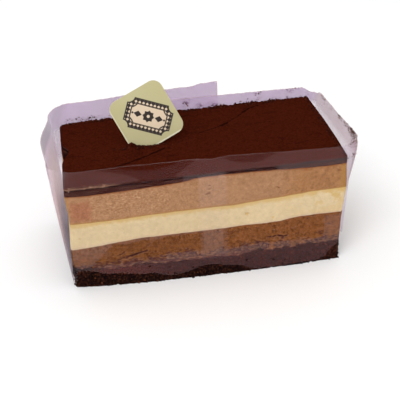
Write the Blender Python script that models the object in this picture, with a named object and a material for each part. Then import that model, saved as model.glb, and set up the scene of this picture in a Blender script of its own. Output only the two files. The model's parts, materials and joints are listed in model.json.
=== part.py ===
"""A bar of triple chocolate mousse cake in its clear wrap, with a card tag stood in its top.

Run it with: blender --background --python part.py

Metres, +Z up. The origin is the middle of the cake's underside. The cake's long side runs along X
and its shown side faces -Y. The bar is five layers high: sponge, dark mousse, white mousse, milk
mousse and a set ganache, each its own solid that runs right through, with a fine gap to the next.
The wrap is one strip of clear film that goes once round the bar and laps over itself at the back.
"""

import math

import bmesh
import bpy
from mathutils import Euler, Vector

MM = 0.001

# The bar.
CAKE_LENGTH = 105 * MM
CAKE_DEPTH = 53 * MM
CAKE_HEIGHT = 45 * MM
GAP = 0.3 * MM  # clear space between one solid and the next

# The tops of the four lower layers: (height at the middle, slope, sag, twist), as the terms of a
# cubic in the station along the bar, which runs from -1 at its left end to 1 at its right.
SPONGE_TOP = (7.6 * MM, 0.2 * MM, 0.3 * MM, -0.5 * MM)
DARK_TOP = (20.1 * MM, 0.3 * MM, -0.3 * MM, 1.5 * MM)
WHITE_TOP = (29.7 * MM, 1.0 * MM, 1.1 * MM, 0.4 * MM)
MILK_TOP = (42.7 * MM, 2.1 * MM, -1.9 * MM, -2.1 * MM)
LAYER_WAVE = 0.25 * MM  # height of the slow waves in each layer's top
LAYER_WAVE_LENGTH = 38 * MM

# How the knife left the sides.
FRONT_SKEW_FOOT = -0.012  # the front's slant in plan at the foot, as a slope
FRONT_SKEW_TOP = 0.010  # the same at the top
BACK_SKEW = 0.025
FOOT_BULGE = 2.0 * MM  # how far the sponge spreads at the front
FOOT_BULGE_BACK = 0.8 * MM
FOOT_HEIGHT = 12 * MM  # where the spread has died away
WAIST_HEIGHT = 31 * MM  # where both ends sway to the right
WAIST_REACH = 8 * MM
WAIST_SWAY = 0.9 * MM
BACK_BULGE = 1.3 * MM  # how far the back leans out at the top, but for the left corner
BACK_BULGE_START = 9 * MM
BACK_BULGE_LESS = 0.3  # the share of it that the right corner lacks
RIGHT_LEAN = 1.7 * MM  # how much farther right the right end is at its top than at its foot
RIGHT_BULGE = 0.8 * MM  # and how much farther still in its middle
RIGHT_BULGE_MIDDLE = 4 * MM
RIGHT_BULGE_REACH = 28 * MM
CORNER_RADIUS = 1.2 * MM
CORNER_SEGMENTS = 3

# Cells of one layer's solid.
CELLS_LONG = 22
CELLS_DEEP = 10
SPONGE_LEVELS = 4
LAYER_LEVELS = 2

# The film strip.
FILM_THICKNESS = 0.3 * MM
FILM_CLEARANCE = 0.45 * MM  # from the cake's side
FILM_FLARE_LEFT = 3.7 * MM  # how far each side leans out at the top edge
FILM_FLARE_RIGHT = 4.2 * MM
FILM_FLARE_BACK = 2.3 * MM
FILM_BOW_LEFT = 2.5 * MM  # and how far each end's middle is bowed out past that
FILM_BOW_RIGHT = -0.2 * MM
FILM_SPLAY_LEFT = 0.7 * MM  # how far each end's front is wider than its middle at the top
FILM_SPLAY_RIGHT = 0.9 * MM
# The right end hugs the cake for half its height: (level, share of its flare).
FILM_LEAN_RIGHT = ((0.0, -0.20), (0.3, -0.01), (0.58, 0.17), (0.78, 0.62), (0.9, 0.91), (1.0, 1.0))
FILM_CORNER_FOOT = 1.8 * MM
# Radii at the top of the corners back left, front left, front right and back right.
FILM_CORNERS_TOP = (9.5 * MM, 8.0 * MM, 10.5 * MM, 6.0 * MM)
FILM_LAP = 0.8 * MM  # how far the outer end stands off the inner one
FILM_OUTER_END = 14.6 * MM  # where the strip starts, on the outside, at the back
FILM_INNER_END = -7.0 * MM  # where it stops, on the inside
FILM_LAP_FADE = (-14 * MM, -38 * MM)  # where the outer run comes back to the inner one's line
FILM_LEVELS = 8
# Cells along each run of the strip, in order from its outer end, and the corners between them.
FILM_CELLS = {"back_left": 16, "corner": 6, "left": 8, "front": 30, "right": 8, "back_right": 14}

# The strip's lower and upper edges: (place along the strip, height). A place counts runs, so 2.5 is
# the middle of the third. Runs 0 to 8: back left, corner, left end, corner, front, corner, right end,
# corner, back right.
FILM_LOWER_EDGE = (
    (0.0, 5.5 * MM),
    (1.0, 3.5 * MM),
    (3.2, 2.2 * MM),
    (3.75, 3.0 * MM),
    (4.03, 8.6 * MM),
    (4.12, 5.8 * MM),
    (4.26, 4.0 * MM),
    (4.36, 2.2 * MM),
    (4.50, 4.6 * MM),
    (4.58, 3.6 * MM),
    (4.68, 0.8 * MM),
    (4.90, 0.8 * MM),
    (4.945, 1.8 * MM),
    (4.98, 6.4 * MM),
    (5.05, 12.0 * MM),
    (5.5, 14.0 * MM),
    (6.5, 8.0 * MM),
    (8.0, 2.0 * MM),
    (9.0, 1.5 * MM),
)
FILM_UPPER_EDGE = (
    (0.0, 55.6 * MM),
    (0.12, 55.3 * MM),
    (0.18, 54.4 * MM),
    (1.0, 52.6 * MM),
    (2.5, 51.6 * MM),
    (4.0, 51.9 * MM),
    (4.5, 50.6 * MM),
    (5.0, 49.6 * MM),
    (6.9, 49.4 * MM),
    (7.25, 47.8 * MM),
    (7.6, 47.6 * MM),
    (8.06, 49.5 * MM),
    (9.0, 49.6 * MM),
)

# The tag.
TAG_SIDE = 22.8 * MM
TAG_CORNER = 3.8 * MM
TAG_CORNER_SEGMENTS = 6
TAG_THICKNESS = 0.6 * MM
TAG_MIDDLE = (-18.1 * MM, 5.05 * MM, 54.4 * MM)
TAG_LEAN = math.radians(31)  # back from upright
TAG_TURN = math.radians(-3.8)  # about the upright
TAG_SPIN = math.radians(-26.3)  # in its own plane

# Colours are linear.
SPONGE_BROWN = (0.030, 0.010, 0.006, 1)
DARK_BROWN = (0.20, 0.078, 0.030, 1)
WHITE_CREAM = (0.69, 0.52, 0.32, 1)
MILK_TAN = (0.41, 0.21, 0.105, 1)
COCOA_BROWN = (0.050, 0.0075, 0.003, 1)
FILM_TINT = (0.52, 0.43, 0.55, 0.35)
TAG_GREEN = (0.52, 0.466, 0.25, 1)


def material(name, colour, roughness):
    made = bpy.data.materials.new(name)
    made.use_nodes = True
    shader = made.node_tree.nodes["Principled BSDF"]
    shader.inputs["Base Color"].default_value = colour
    shader.inputs["Roughness"].default_value = roughness
    shader.inputs["Metallic"].default_value = 0.0
    shader.inputs["Alpha"].default_value = colour[3]
    return made


def add_object(name, bm, finish):
    bmesh.ops.recalc_face_normals(bm, faces=bm.faces)
    mesh = bpy.data.meshes.new(name)
    bm.to_mesh(mesh)
    bm.free()
    mesh.materials.append(finish)
    made = bpy.data.objects.new(name, mesh)
    bpy.context.scene.collection.objects.link(made)
    return made


def blend(low, high, part):
    return low + (high - low) * part


def smooth(part):
    part = min(max(part, 0.0), 1.0)
    return part * part * (3 - 2 * part)


def layer_top(terms, x, y):
    """Height of a layer's top at a place on the bar."""
    middle, slope, sag, twist = terms
    station = x / (CAKE_LENGTH / 2)
    wave = math.sin(math.tau * y / LAYER_WAVE_LENGTH) * math.cos(math.tau * (x - y) / LAYER_WAVE_LENGTH)
    return middle + slope * station + sag * station**2 + twist * station**3 + LAYER_WAVE * wave


def foot_spread(x, z):
    """How much of the sponge's spread is left at a height, fullest just right of the middle."""
    rise = max(0.0, 1 - z / FOOT_HEIGHT)
    station = abs(x - 5 * MM) / (CAKE_LENGTH / 2)
    return rise**2 * (1 - station**3)


def cake_front(x, z):
    skew = blend(FRONT_SKEW_FOOT, FRONT_SKEW_TOP, z / CAKE_HEIGHT)
    return -CAKE_DEPTH / 2 + skew * x - FOOT_BULGE * foot_spread(x, z)


def cake_back(x, z):
    bulge = smooth((x + CAKE_LENGTH / 2) / BACK_BULGE_START)
    bulge *= 1 - BACK_BULGE_LESS * max(0.0, x / (CAKE_LENGTH / 2)) ** 2
    side = CAKE_DEPTH / 2 + BACK_SKEW * x + FOOT_BULGE_BACK * foot_spread(x, z)
    return side + BACK_BULGE * z / CAKE_HEIGHT * bulge


def sway(x, y, z):
    """How far a point of the bar is moved to the right."""
    waist = WAIST_SWAY * math.exp(-(((z - WAIST_HEIGHT) / WAIST_REACH) ** 2))
    middle = max(0.0, 1 - ((y - RIGHT_BULGE_MIDDLE) / RIGHT_BULGE_REACH) ** 2)
    lean = RIGHT_LEAN * (z / CAKE_HEIGHT - 0.5) + RIGHT_BULGE * z / CAKE_HEIGHT * middle
    return waist + lean * max(0.0, x / (CAKE_LENGTH / 2)) ** 6


def layer(name, finish, floor, ceiling, levels):
    """One layer, from the surface floor(x, y) up to ceiling(x, y): a block of cells bent to shape."""
    bm = bmesh.new()
    bmesh.ops.create_grid(bm, x_segments=CELLS_LONG, y_segments=CELLS_DEEP, size=1)
    faces = bm.faces[:]
    for step in range(levels):
        grown = bmesh.ops.extrude_face_region(bm, geom=faces)["geom"]
        if step:
            bmesh.ops.delete(bm, geom=faces, context="FACES_ONLY")
        faces = [item for item in grown if isinstance(item, bmesh.types.BMFace)]
        raised = [item for item in grown if isinstance(item, bmesh.types.BMVert)]
        bmesh.ops.translate(bm, verts=raised, vec=(0, 0, 1 / levels))

    # The four upright corners get a small radius from a Bevel modifier, by weight.
    weight = bm.edges.layers.float.new("bevel_weight_edge")
    for edge in bm.edges:
        if all(abs(v.co.x) > 0.999 and abs(v.co.y) > 0.999 for v in edge.verts):
            edge[weight] = 1.0

    for vert in bm.verts:
        long, deep, level = vert.co
        x = long * CAKE_LENGTH / 2
        y = deep * CAKE_DEPTH / 2
        z = blend(floor(x, y), ceiling(x, y), level)
        x += sway(x, y, z)
        vert.co = Vector((x, blend(cake_front(x, z), cake_back(x, z), (deep + 1) / 2), z))

    made = add_object(name, bm, finish)
    bevel = made.modifiers.new("corners", "BEVEL")
    bevel.limit_method = "WEIGHT"
    bevel.width = CORNER_RADIUS
    bevel.segments = CORNER_SEGMENTS
    return made


def above(terms):
    return lambda x, y: layer_top(terms, x, y) + GAP / 2


def below(terms):
    return lambda x, y: layer_top(terms, x, y) - GAP / 2


def level_at(height):
    return lambda x, y: height


def edge_height(edge, place):
    """Height of one of the strip's edges at a place along it, eased from point to point."""
    for (start, low), (end, high) in zip(edge, edge[1:]):
        if place <= end:
            return blend(low, high, smooth((place - start) / (end - start)))
    return edge[-1][1]


def lean_right(level):
    """The share of its flare that the right end has at a level."""
    for (start, low), (end, high) in zip(FILM_LEAN_RIGHT, FILM_LEAN_RIGHT[1:]):
        if level <= end:
            return blend(low, high, (level - start) / (end - start))
    return FILM_LEAN_RIGHT[-1][1]


def film_plan(level):
    """The strip's run in plan at a level from 0, its foot, to 1, its top: (place, x, y) from its
    outer end round to its inner one."""
    left = -CAKE_LENGTH / 2 - FILM_CLEARANCE - FILM_FLARE_LEFT * level
    lean = lean_right(level)
    right = CAKE_LENGTH / 2 + WAIST_SWAY + FILM_CLEARANCE + FILM_FLARE_RIGHT * lean
    # The corners start tight and open out near the top.
    back_left, front_left, front_right, back_right = (
        blend(FILM_CORNER_FOOT, top, level**4) for top in FILM_CORNERS_TOP
    )
    splay = FILM_SPLAY_LEFT * level
    splay_right = FILM_SPLAY_RIGHT * lean
    points = []

    def run(start, end, cells, bow=0):
        order = round(points[-1][0]) if points else 0
        for i in range(1 if points else 0, cells + 1):
            part = i / cells
            x = blend(start[0], end[0], part) + bow * math.sin(math.pi * part) ** 2
            points.append((order + part, x, blend(start[1], end[1], part)))

    def corner(middle, radius, start_angle):
        order = round(points[-1][0])
        for i in range(1, FILM_CELLS["corner"] + 1):
            part = i / FILM_CELLS["corner"]
            angle = start_angle + part * math.pi / 2
            x = middle[0] + radius * math.cos(angle)
            points.append((order + part, x, middle[1] + radius * math.sin(angle)))

    def front(x):
        side = cake_front(x, level * CAKE_HEIGHT) - FILM_CLEARANCE
        return min(side, -CAKE_DEPTH / 2 - FILM_CLEARANCE)

    def back(x):
        side = cake_back(x, level * CAKE_HEIGHT) + FILM_CLEARANCE
        return max(side, CAKE_DEPTH / 2 + FILM_CLEARANCE + FILM_FLARE_BACK * level)

    turns = (
        (left + splay + back_left, back(left) - back_left),
        (left - splay + front_left, front(left) + front_left),
        (right + splay_right - front_right, front(right) + front_right),
        (right - splay_right - back_right, back(right) - back_right),
    )
    run((FILM_OUTER_END, back(0)), (turns[0][0], back(left)), FILM_CELLS["back_left"])
    corner(turns[0], back_left, math.pi / 2)
    bow_left = -FILM_BOW_LEFT * level
    bow_right = FILM_BOW_RIGHT * lean
    run((left + splay, turns[0][1]), (left - splay, turns[1][1]), FILM_CELLS["left"], bow_left)
    corner(turns[1], front_left, math.pi)
    run((turns[1][0], front(left)), (turns[2][0], front(right)), FILM_CELLS["front"])
    corner(turns[2], front_right, -math.pi / 2)
    start, end = (right + splay_right, turns[2][1]), (right - splay_right, turns[3][1])
    run(start, end, FILM_CELLS["right"], bow_right)
    corner(turns[3], back_right, 0)
    run((turns[3][0], back(right)), (FILM_INNER_END, back(0)), FILM_CELLS["back_right"])
    return points


def film_collar(finish):
    bm = bmesh.new()
    rows = []
    for i in range(FILM_LEVELS + 1):
        level = i / FILM_LEVELS
        row = []
        for place, x, y in film_plan(level):
            z = blend(edge_height(FILM_LOWER_EDGE, place), edge_height(FILM_UPPER_EDGE, place), level)
            if 4 <= place <= 5:
                # The front hugs the cake's side and goes straight up past its top.
                y = min(y, cake_front(x, min(z, CAKE_HEIGHT)) - FILM_CLEARANCE)
            elif place <= 1 or place >= 8:
                y = max(y, cake_back(x, min(z, CAKE_HEIGHT)) + FILM_CLEARANCE)
            if place < 1:
                fade = (x - FILM_LAP_FADE[1]) / (FILM_LAP_FADE[0] - FILM_LAP_FADE[1])
                y += FILM_LAP * smooth(fade)
            row.append(bm.verts.new((x, y, z)))
        rows.append(row)
    for lower, upper in zip(rows, rows[1:]):
        for a, b, c, d in zip(lower, lower[1:], upper[1:], upper):
            bm.faces.new((a, b, c, d))
    made = add_object("film_collar", bm, finish)
    made.data.shade_smooth()
    wall = made.modifiers.new("thickness", "SOLIDIFY")
    wall.thickness = FILM_THICKNESS
    wall.offset = 0
    return made


def tag_plate(name, finish, margin):
    """The tag as a rounded square plate standing in the XZ plane, grown by a margin all over."""
    half = TAG_SIDE / 2 + margin
    radius = TAG_CORNER + margin
    depth = TAG_THICKNESS / 2 + margin
    bm = bmesh.new()
    outline = []
    for quarter, (right, up) in enumerate(((1, 1), (-1, 1), (-1, -1), (1, -1))):
        for i in range(TAG_CORNER_SEGMENTS + 1):
            angle = (quarter + i / TAG_CORNER_SEGMENTS) * math.pi / 2
            x = right * (half - radius) + radius * math.cos(angle)
            z = up * (half - radius) + radius * math.sin(angle)
            outline.append(bm.verts.new((x, -depth, z)))
    face = bm.faces.new(outline)
    grown = bmesh.ops.extrude_face_region(bm, geom=[face])["geom"]
    raised = [item for item in grown if isinstance(item, bmesh.types.BMVert)]
    bmesh.ops.translate(bm, verts=raised, vec=(0, 2 * depth, 0))
    made = add_object(name, bm, finish)
    made.location = TAG_MIDDLE
    turn = Euler((0, 0, TAG_TURN)).to_matrix()
    lean = Euler((-TAG_LEAN, 0, 0)).to_matrix()
    spin = Euler((0, TAG_SPIN, 0)).to_matrix()
    made.rotation_euler = (turn @ lean @ spin).to_euler()
    return made


def cut_tag_slot(ganache, finish):
    """The slit that the tag's lower corner stands in."""
    cutter = tag_plate("tag_slot_cutter", finish, GAP)
    cutter.hide_render = True
    cutter.display_type = "WIRE"
    slot = ganache.modifiers.new("tag_slot", "BOOLEAN")
    slot.operation = "DIFFERENCE"
    slot.solver = "EXACT"
    slot.object = cutter


def main():
    for old in list(bpy.data.objects):
        bpy.data.objects.remove(old)

    sponge = material("sponge", SPONGE_BROWN, 0.9)
    dark = material("dark_mousse", DARK_BROWN, 0.6)
    white = material("white_mousse", WHITE_CREAM, 0.6)
    milk = material("milk_mousse", MILK_TAN, 0.6)
    cocoa = material("cocoa", COCOA_BROWN, 0.95)
    film = material("clear_film", FILM_TINT, 0.1)
    card = material("card", TAG_GREEN, 0.5)

    layer("sponge_base", sponge, level_at(0), below(SPONGE_TOP), SPONGE_LEVELS)
    layer("dark_mousse", dark, above(SPONGE_TOP), below(DARK_TOP), LAYER_LEVELS)
    layer("white_mousse", white, above(DARK_TOP), below(WHITE_TOP), LAYER_LEVELS)
    layer("milk_mousse", milk, above(WHITE_TOP), below(MILK_TOP), LAYER_LEVELS)
    ganache = layer("ganache", cocoa, above(MILK_TOP), level_at(CAKE_HEIGHT), LAYER_LEVELS)
    cut_tag_slot(ganache, cocoa)
    film_collar(film)
    tag_plate("tag", card, 0)


main()
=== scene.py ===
# %% [markdown]
# # A bar of triple chocolate mousse cake
#
# We dress a plain, exact model of a cake bar until it looks good enough to eat. The real bar is cut
# from a slab with a hot knife: dark sponge at the foot, then dark, white and milk chocolate mousse,
# then a thin set ganache under a dusting of cocoa. A strip of clear film goes round it, and a small
# card tag stands in its top.
#
# The plain model comes in as a fixed frame. Nothing in it is moved: each of its solids is either
# given a better finish or stood in for by a finer piece in the same place.

# %% Load the fixed frame
import json
import math

import bmesh
import bpy
import numpy as np
from mathutils import Euler, Matrix, Vector, geometry

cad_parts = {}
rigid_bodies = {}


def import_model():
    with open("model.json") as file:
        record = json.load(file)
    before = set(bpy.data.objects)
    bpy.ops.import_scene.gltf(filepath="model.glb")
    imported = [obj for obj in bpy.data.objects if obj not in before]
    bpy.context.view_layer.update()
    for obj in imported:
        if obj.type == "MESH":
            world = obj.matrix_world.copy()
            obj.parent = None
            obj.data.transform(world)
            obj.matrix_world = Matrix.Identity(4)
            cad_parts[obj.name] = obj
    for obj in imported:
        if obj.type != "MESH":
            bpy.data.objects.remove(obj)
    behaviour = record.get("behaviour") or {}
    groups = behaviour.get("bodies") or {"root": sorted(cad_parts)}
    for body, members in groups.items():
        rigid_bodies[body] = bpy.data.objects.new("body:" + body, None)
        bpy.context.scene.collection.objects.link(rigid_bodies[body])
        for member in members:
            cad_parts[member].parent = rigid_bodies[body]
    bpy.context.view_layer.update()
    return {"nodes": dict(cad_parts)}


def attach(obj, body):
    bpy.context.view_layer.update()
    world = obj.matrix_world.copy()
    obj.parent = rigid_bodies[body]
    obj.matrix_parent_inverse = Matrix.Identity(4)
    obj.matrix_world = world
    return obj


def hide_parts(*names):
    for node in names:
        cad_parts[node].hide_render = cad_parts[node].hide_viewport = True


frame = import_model()
print("nodes:", ", ".join(sorted(frame["nodes"])))

# %% [markdown]
# ## The camera
#
# A picture of a small thing on a table is taken from close by and well above, here about 34 cm away
# and looking down by about a third of a right angle. Turning a camera is easiest as three turns in a
# row: how far it is turned about the upright, how far it looks down, and how far it is rolled.

# %% Place the camera
MM = 0.001
CAMERA_PLACE = Vector((-42.04, -277.63, 189.39)) * MM
CAMERA_TURN = math.radians(-8.80)
CAMERA_DOWN = math.radians(31.513)
CAMERA_ROLL = math.radians(-2.028)
CAMERA_LENS = 72.506
CAMERA_SENSOR = 36


def place_camera():
    lens = bpy.data.cameras.new("camera")
    lens.lens = CAMERA_LENS
    lens.sensor_width = CAMERA_SENSOR
    camera = bpy.data.objects.new("camera", lens)
    turn = Matrix.Rotation(CAMERA_TURN, 4, "Z")
    down = Matrix.Rotation(math.pi / 2 - CAMERA_DOWN, 4, "X")
    roll = Matrix.Rotation(CAMERA_ROLL, 4, "Z")
    camera.matrix_world = Matrix.Translation(CAMERA_PLACE) @ turn @ down @ roll
    bpy.context.scene.collection.objects.link(camera)
    bpy.context.scene.camera = camera
    return camera


print("camera looks along", place_camera().matrix_world.to_3x3() @ Vector((0, 0, -1)))

# %% [markdown]
# ## Floor and light
#
# Food looks true under a big soft source. A bright, even world is the softest there is: in it every
# surface shows about its own colour. One large lamp above and to the front gives the shapes a lit
# side. The floor is one flat square, pale enough to vanish into the world behind it. Blender's
# standard view is chosen, because it changes no colours.

# %% Floor, world and lamp
FLOOR_REACH = 2.0
FLOOR_WHITE = 0.96
WORLD_LIGHT = 0.92
LAMP_PLACE = Vector((-0.45, -0.55, 0.85))
LAMP_SIZE = 0.5
LAMP_POWER = 3.7


def pale_floor():
    mesh = bpy.data.meshes.new("floor")
    corners = [(x * FLOOR_REACH, y * FLOOR_REACH, 0) for x, y in ((-1, -1), (1, -1), (1, 1), (-1, 1))]
    mesh.from_pydata(corners, [], [(0, 1, 2, 3)])
    paint = bpy.data.materials.new("floor")
    paint.use_nodes = True
    shader = paint.node_tree.nodes["Principled BSDF"]
    shader.inputs["Base Color"].default_value = (FLOOR_WHITE, FLOOR_WHITE, FLOOR_WHITE, 1)
    shader.inputs["Roughness"].default_value = 0.9
    shader.inputs["Specular IOR Level"].default_value = 0.0
    mesh.materials.append(paint)
    floor = bpy.data.objects.new("floor", mesh)
    bpy.context.scene.collection.objects.link(floor)


def soft_light():
    world = bpy.data.worlds.new("studio")
    world.use_nodes = True
    world.node_tree.nodes["Background"].inputs["Color"].default_value = (1, 1, 1, 1)
    world.node_tree.nodes["Background"].inputs["Strength"].default_value = WORLD_LIGHT
    bpy.context.scene.world = world
    bulb = bpy.data.lights.new("lamp", "AREA")
    bulb.size = LAMP_SIZE
    bulb.energy = LAMP_POWER
    lamp = bpy.data.objects.new("lamp", bulb)
    turn = LAMP_PLACE.to_track_quat("Z", "Y").to_matrix().to_4x4()
    lamp.matrix_world = Matrix.Translation(LAMP_PLACE) @ turn
    bpy.context.scene.collection.objects.link(lamp)


pale_floor()
soft_light()
bpy.context.scene.view_settings.view_transform = "Standard"
print("world", WORLD_LIGHT, "lamp", LAMP_POWER, "W")

# %% [markdown]
# ## Sums with nodes
#
# Blender's node trees can do any sum, but wiring them by hand hides the idea. So we wrap a socket in
# a small class and give it Python's operators: `1 - mask` then adds a Math node and wires it. The
# same wrapper serves shader trees and geometry trees, since both share the Math node. Every other
# node comes from one method, which sets the node up before it fills its sockets.

# %% A socket that can be used in sums
class Wire:
    """An output socket. An operator on it adds one Math node and gives that node's output."""

    def __init__(self, tree, socket):
        self.tree = tree
        self.socket = socket

    def other(self, name):
        return Wire(self.tree, self.socket.node.outputs[name])

    def __add__(self, value):
        return self.tree.math("ADD", self, value)

    def __radd__(self, value):
        return self.tree.math("ADD", value, self)

    def __sub__(self, value):
        return self.tree.math("SUBTRACT", self, value)

    def __rsub__(self, value):
        return self.tree.math("SUBTRACT", value, self)

    def __mul__(self, value):
        return self.tree.math("MULTIPLY", self, value)

    def __rmul__(self, value):
        return self.tree.math("MULTIPLY", value, self)

    def __truediv__(self, value):
        return self.tree.math("DIVIDE", self, value)

    def __rtruediv__(self, value):
        return self.tree.math("DIVIDE", value, self)

    def __pow__(self, value):
        return self.tree.math("POWER", self, value)

    def __rpow__(self, value):
        return self.tree.math("POWER", value, self)

    def __abs__(self):
        return self.tree.math("ABSOLUTE", self)

    def low(self, value):
        return self.tree.math("MINIMUM", self, value)

    def high(self, value):
        return self.tree.math("MAXIMUM", self, value)

    def frac(self):
        return self.tree.math("FRACT", self)

    def step(self, start, end):
        """0 at start, 1 at end, eased in between. A start above the end turns it round."""
        values = {"Value": self, "From Min": start, "From Max": end}
        return self.tree.node("ShaderNodeMapRange", {"interpolation_type": "SMOOTHSTEP"}, values)


print("reflected operators:", ", ".join(name for name in vars(Wire) if name.startswith("__r")))

# %% A tree that makes nodes
class Tree:
    """A node tree, with one method that makes any node and a few for the sums used most."""

    def __init__(self, nodes, links):
        self.nodes = nodes
        self.links = links

    def node(self, kind, settings=None, values=None, out=0):
        made = self.nodes.new(kind)
        for name, value in (settings or {}).items():
            setattr(made, name, value)
        for name, value in (values or {}).items():
            self.feed(made.inputs[name], value)
        return Wire(self, made.outputs[out])

    def feed(self, socket, value):
        if isinstance(value, Wire):
            self.links.new(value.socket, socket)
        elif socket.type == "RGBA":
            socket.default_value = (*value, 1)
        else:
            socket.default_value = value

    def math(self, operation, *values):
        return self.node("ShaderNodeMath", {"operation": operation}, dict(enumerate(values)))

    def vector(self, operation, *values):
        return self.node("ShaderNodeVectorMath", {"operation": operation}, dict(enumerate(values)))

    def scaled(self, vector, factor):
        return self.node("ShaderNodeVectorMath", {"operation": "SCALE"}, {0: vector, "Scale": factor})

    def distance(self, *sides):
        """The length of the slanted side over two or more square ones."""
        total = sides[0] ** 2
        for side in sides[1:]:
            total = total + side**2
        return total**0.5

    def noise(self, place, size, seed=0.0, detail=2.0, rough=0.5, out="Fac"):
        """Soft random values round 0.5, with lumps about as large as size."""
        settings = {"noise_dimensions": "4D"}
        values = {"Vector": place, "W": seed, "Scale": 1 / size, "Detail": detail, "Roughness": rough}
        return self.node("ShaderNodeTexNoise", settings, values, out)

    def cells(self, place, size, seed=0.0):
        """How far each point is from the middle of its random cell, in cell sizes."""
        values = {"Vector": place, "W": seed, "Scale": 1 / size}
        return self.node("ShaderNodeTexVoronoi", {"voronoi_dimensions": "4D"}, values, "Distance")

    def ramp(self, value, *stops):
        """A colour or grey that goes from stop to stop as the value rises: (value, colour)."""
        made = self.node("ShaderNodeValToRGB", None, {"Fac": value})
        elements = made.socket.node.color_ramp.elements
        for _ in stops[2:]:
            elements.new(1.0)
        for element, (position, colour) in zip(elements, stops):
            element.position = position
            element.color = (*colour, 1) if isinstance(colour, tuple) else (colour, colour, colour, 1)
        return made

    def parts(self, vector):
        made = self.node("ShaderNodeSeparateXYZ", None, {0: vector})
        return made, made.other("Y"), made.other("Z")


print("a tree can make:", ", ".join(name for name in vars(Tree) if not name.startswith("_")))

# %% [markdown]
# ## A finish
#
# A material here is one Principled BSDF with its steady values set on the shader's own sockets.
# What changes over the surface, such as colour and roughness, is worked out from the place on the
# object in millimetres. Colours go through Mix nodes, because a Math node would turn them grey.

# %% The finish class
class Finish(Tree):
    """A material built round one Principled BSDF."""

    def __init__(self, name, **steady):
        self.material = bpy.data.materials.new(name)
        self.material.use_nodes = True
        super().__init__(self.material.node_tree.nodes, self.material.node_tree.links)
        self.shader = self.nodes["Principled BSDF"]
        for socket, value in steady.items():
            self.shader.inputs[socket.replace("_", " ")].default_value = value
        coordinates = self.node("ShaderNodeTexCoord").other("Object")
        self.place = self.scaled(coordinates, 1 / MM)
        self.x, self.y, self.z = self.parts(self.place)

    def attribute(self, name):
        return self.node("ShaderNodeAttribute", {"attribute_name": name}).other("Fac")

    def mix(self, factor, start, end, blend_type="MIX"):
        settings = {"data_type": "RGBA", "blend_type": blend_type}
        return self.node("ShaderNodeMix", settings, {0: factor, 6: start, 7: end}, out=2)

    def shade(self, colour, factor):
        """The colour made lighter by a factor above 1, or darker by one below."""
        return self.scaled(colour, factor)

    def patch(self, left, right, low, high, soft, ragged=0.0):
        """1 inside an upright box on the front, with soft and ragged borders."""
        across = abs(self.x - (left + right) / 2) - (right - left) / 2
        up = abs(self.z - (low + high) / 2) - (high - low) / 2
        return (across.high(up) + ragged).step(soft, -soft)

    def bump(self, height, depth):
        """A surface whose height in the shading goes up by depth, in mm, where height goes up by 1."""
        return self.node("ShaderNodeBump", None, {"Height": height, "Distance": depth * MM})

    def wear(self, **outputs):
        for socket, value in outputs.items():
            self.feed(self.shader.inputs[socket.replace("_", " ")], value)
        return self.material


print("a finish adds:", ", ".join(name for name in vars(Finish) if not name.startswith("_")))

# %% [markdown]
# ## The bar's own measures
#
# The finer pieces have to lie where the frame's plain ones do, so they follow the same rules: the
# knife left the sides slightly skewed, the sponge spreads at the foot, both ends sway to the right at
# the waist, and the back and the right end lean out at the top. The rules are written for whole
# arrays of points at once.

# %% Measures and rules of the bar
CAKE_LENGTH = 105 * MM
CAKE_DEPTH = 53 * MM
CAKE_HEIGHT = 45 * MM
CORNER_RADIUS = 1.2 * MM
# The tops of the four lower layers: (height at the middle, slope, sag, twist), as the terms of a
# cubic in the station along the bar, which runs from -1 at its left end to 1 at its right.
SPONGE_TOP = (7.6 * MM, 0.2 * MM, 0.3 * MM, -0.5 * MM)
DARK_TOP = (20.1 * MM, 0.3 * MM, -0.3 * MM, 1.5 * MM)
WHITE_TOP = (29.7 * MM, 1.0 * MM, 1.1 * MM, 0.4 * MM)
MILK_TOP = (42.7 * MM, 2.1 * MM, -1.9 * MM, -2.1 * MM)
LAYER_WAVE = 0.25 * MM  # height of the slow waves in each layer's top
LAYER_WAVE_LENGTH = 38 * MM
# How the knife left the sides.
FRONT_SKEW_FOOT = -0.012  # the front's slant in plan at the foot, as a slope
FRONT_SKEW_TOP = 0.010  # the same at the top
BACK_SKEW = 0.025
FOOT_BULGE = 2.0 * MM  # how far the sponge spreads at the front
FOOT_BULGE_BACK = 0.8 * MM
FOOT_BULGE_MIDDLE = 5 * MM  # where along the bar it spreads most
FOOT_HEIGHT = 12 * MM  # where the spread has died away
WAIST_HEIGHT = 31 * MM  # where both ends sway to the right
WAIST_REACH = 8 * MM
WAIST_SWAY = 0.9 * MM
BACK_BULGE = 1.3 * MM  # how far the back leans out at the top, but for the left corner
BACK_BULGE_START = 9 * MM
BACK_BULGE_LESS = 0.3  # the share of it that the right corner lacks
RIGHT_LEAN = 1.7 * MM  # how much farther right the right end is at its top than at its foot
RIGHT_LEAN_POWER = 6  # of the station, so that the lean is felt only near the end
RIGHT_BULGE = 0.8 * MM  # how much farther still the end is in its middle
RIGHT_BULGE_MIDDLE = 4 * MM
RIGHT_BULGE_REACH = 28 * MM


def blend(low, high, part):
    return low + (high - low) * part


def smooth(part):
    """The part, eased at 0 and at 1 and held there."""
    part = np.clip(part, 0.0, 1.0)
    return part * part * (3 - 2 * part)


def foot_spread(x, z):
    """How much of the sponge's spread is left at a height, fullest just right of the middle."""
    rise = np.maximum(0.0, 1 - z / FOOT_HEIGHT)
    station = np.abs(x - FOOT_BULGE_MIDDLE) / (CAKE_LENGTH / 2)
    return rise**2 * (1 - station**3)


def cake_front(x, z):
    skew = blend(FRONT_SKEW_FOOT, FRONT_SKEW_TOP, z / CAKE_HEIGHT)
    return -CAKE_DEPTH / 2 + skew * x - FOOT_BULGE * foot_spread(x, z)


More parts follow.
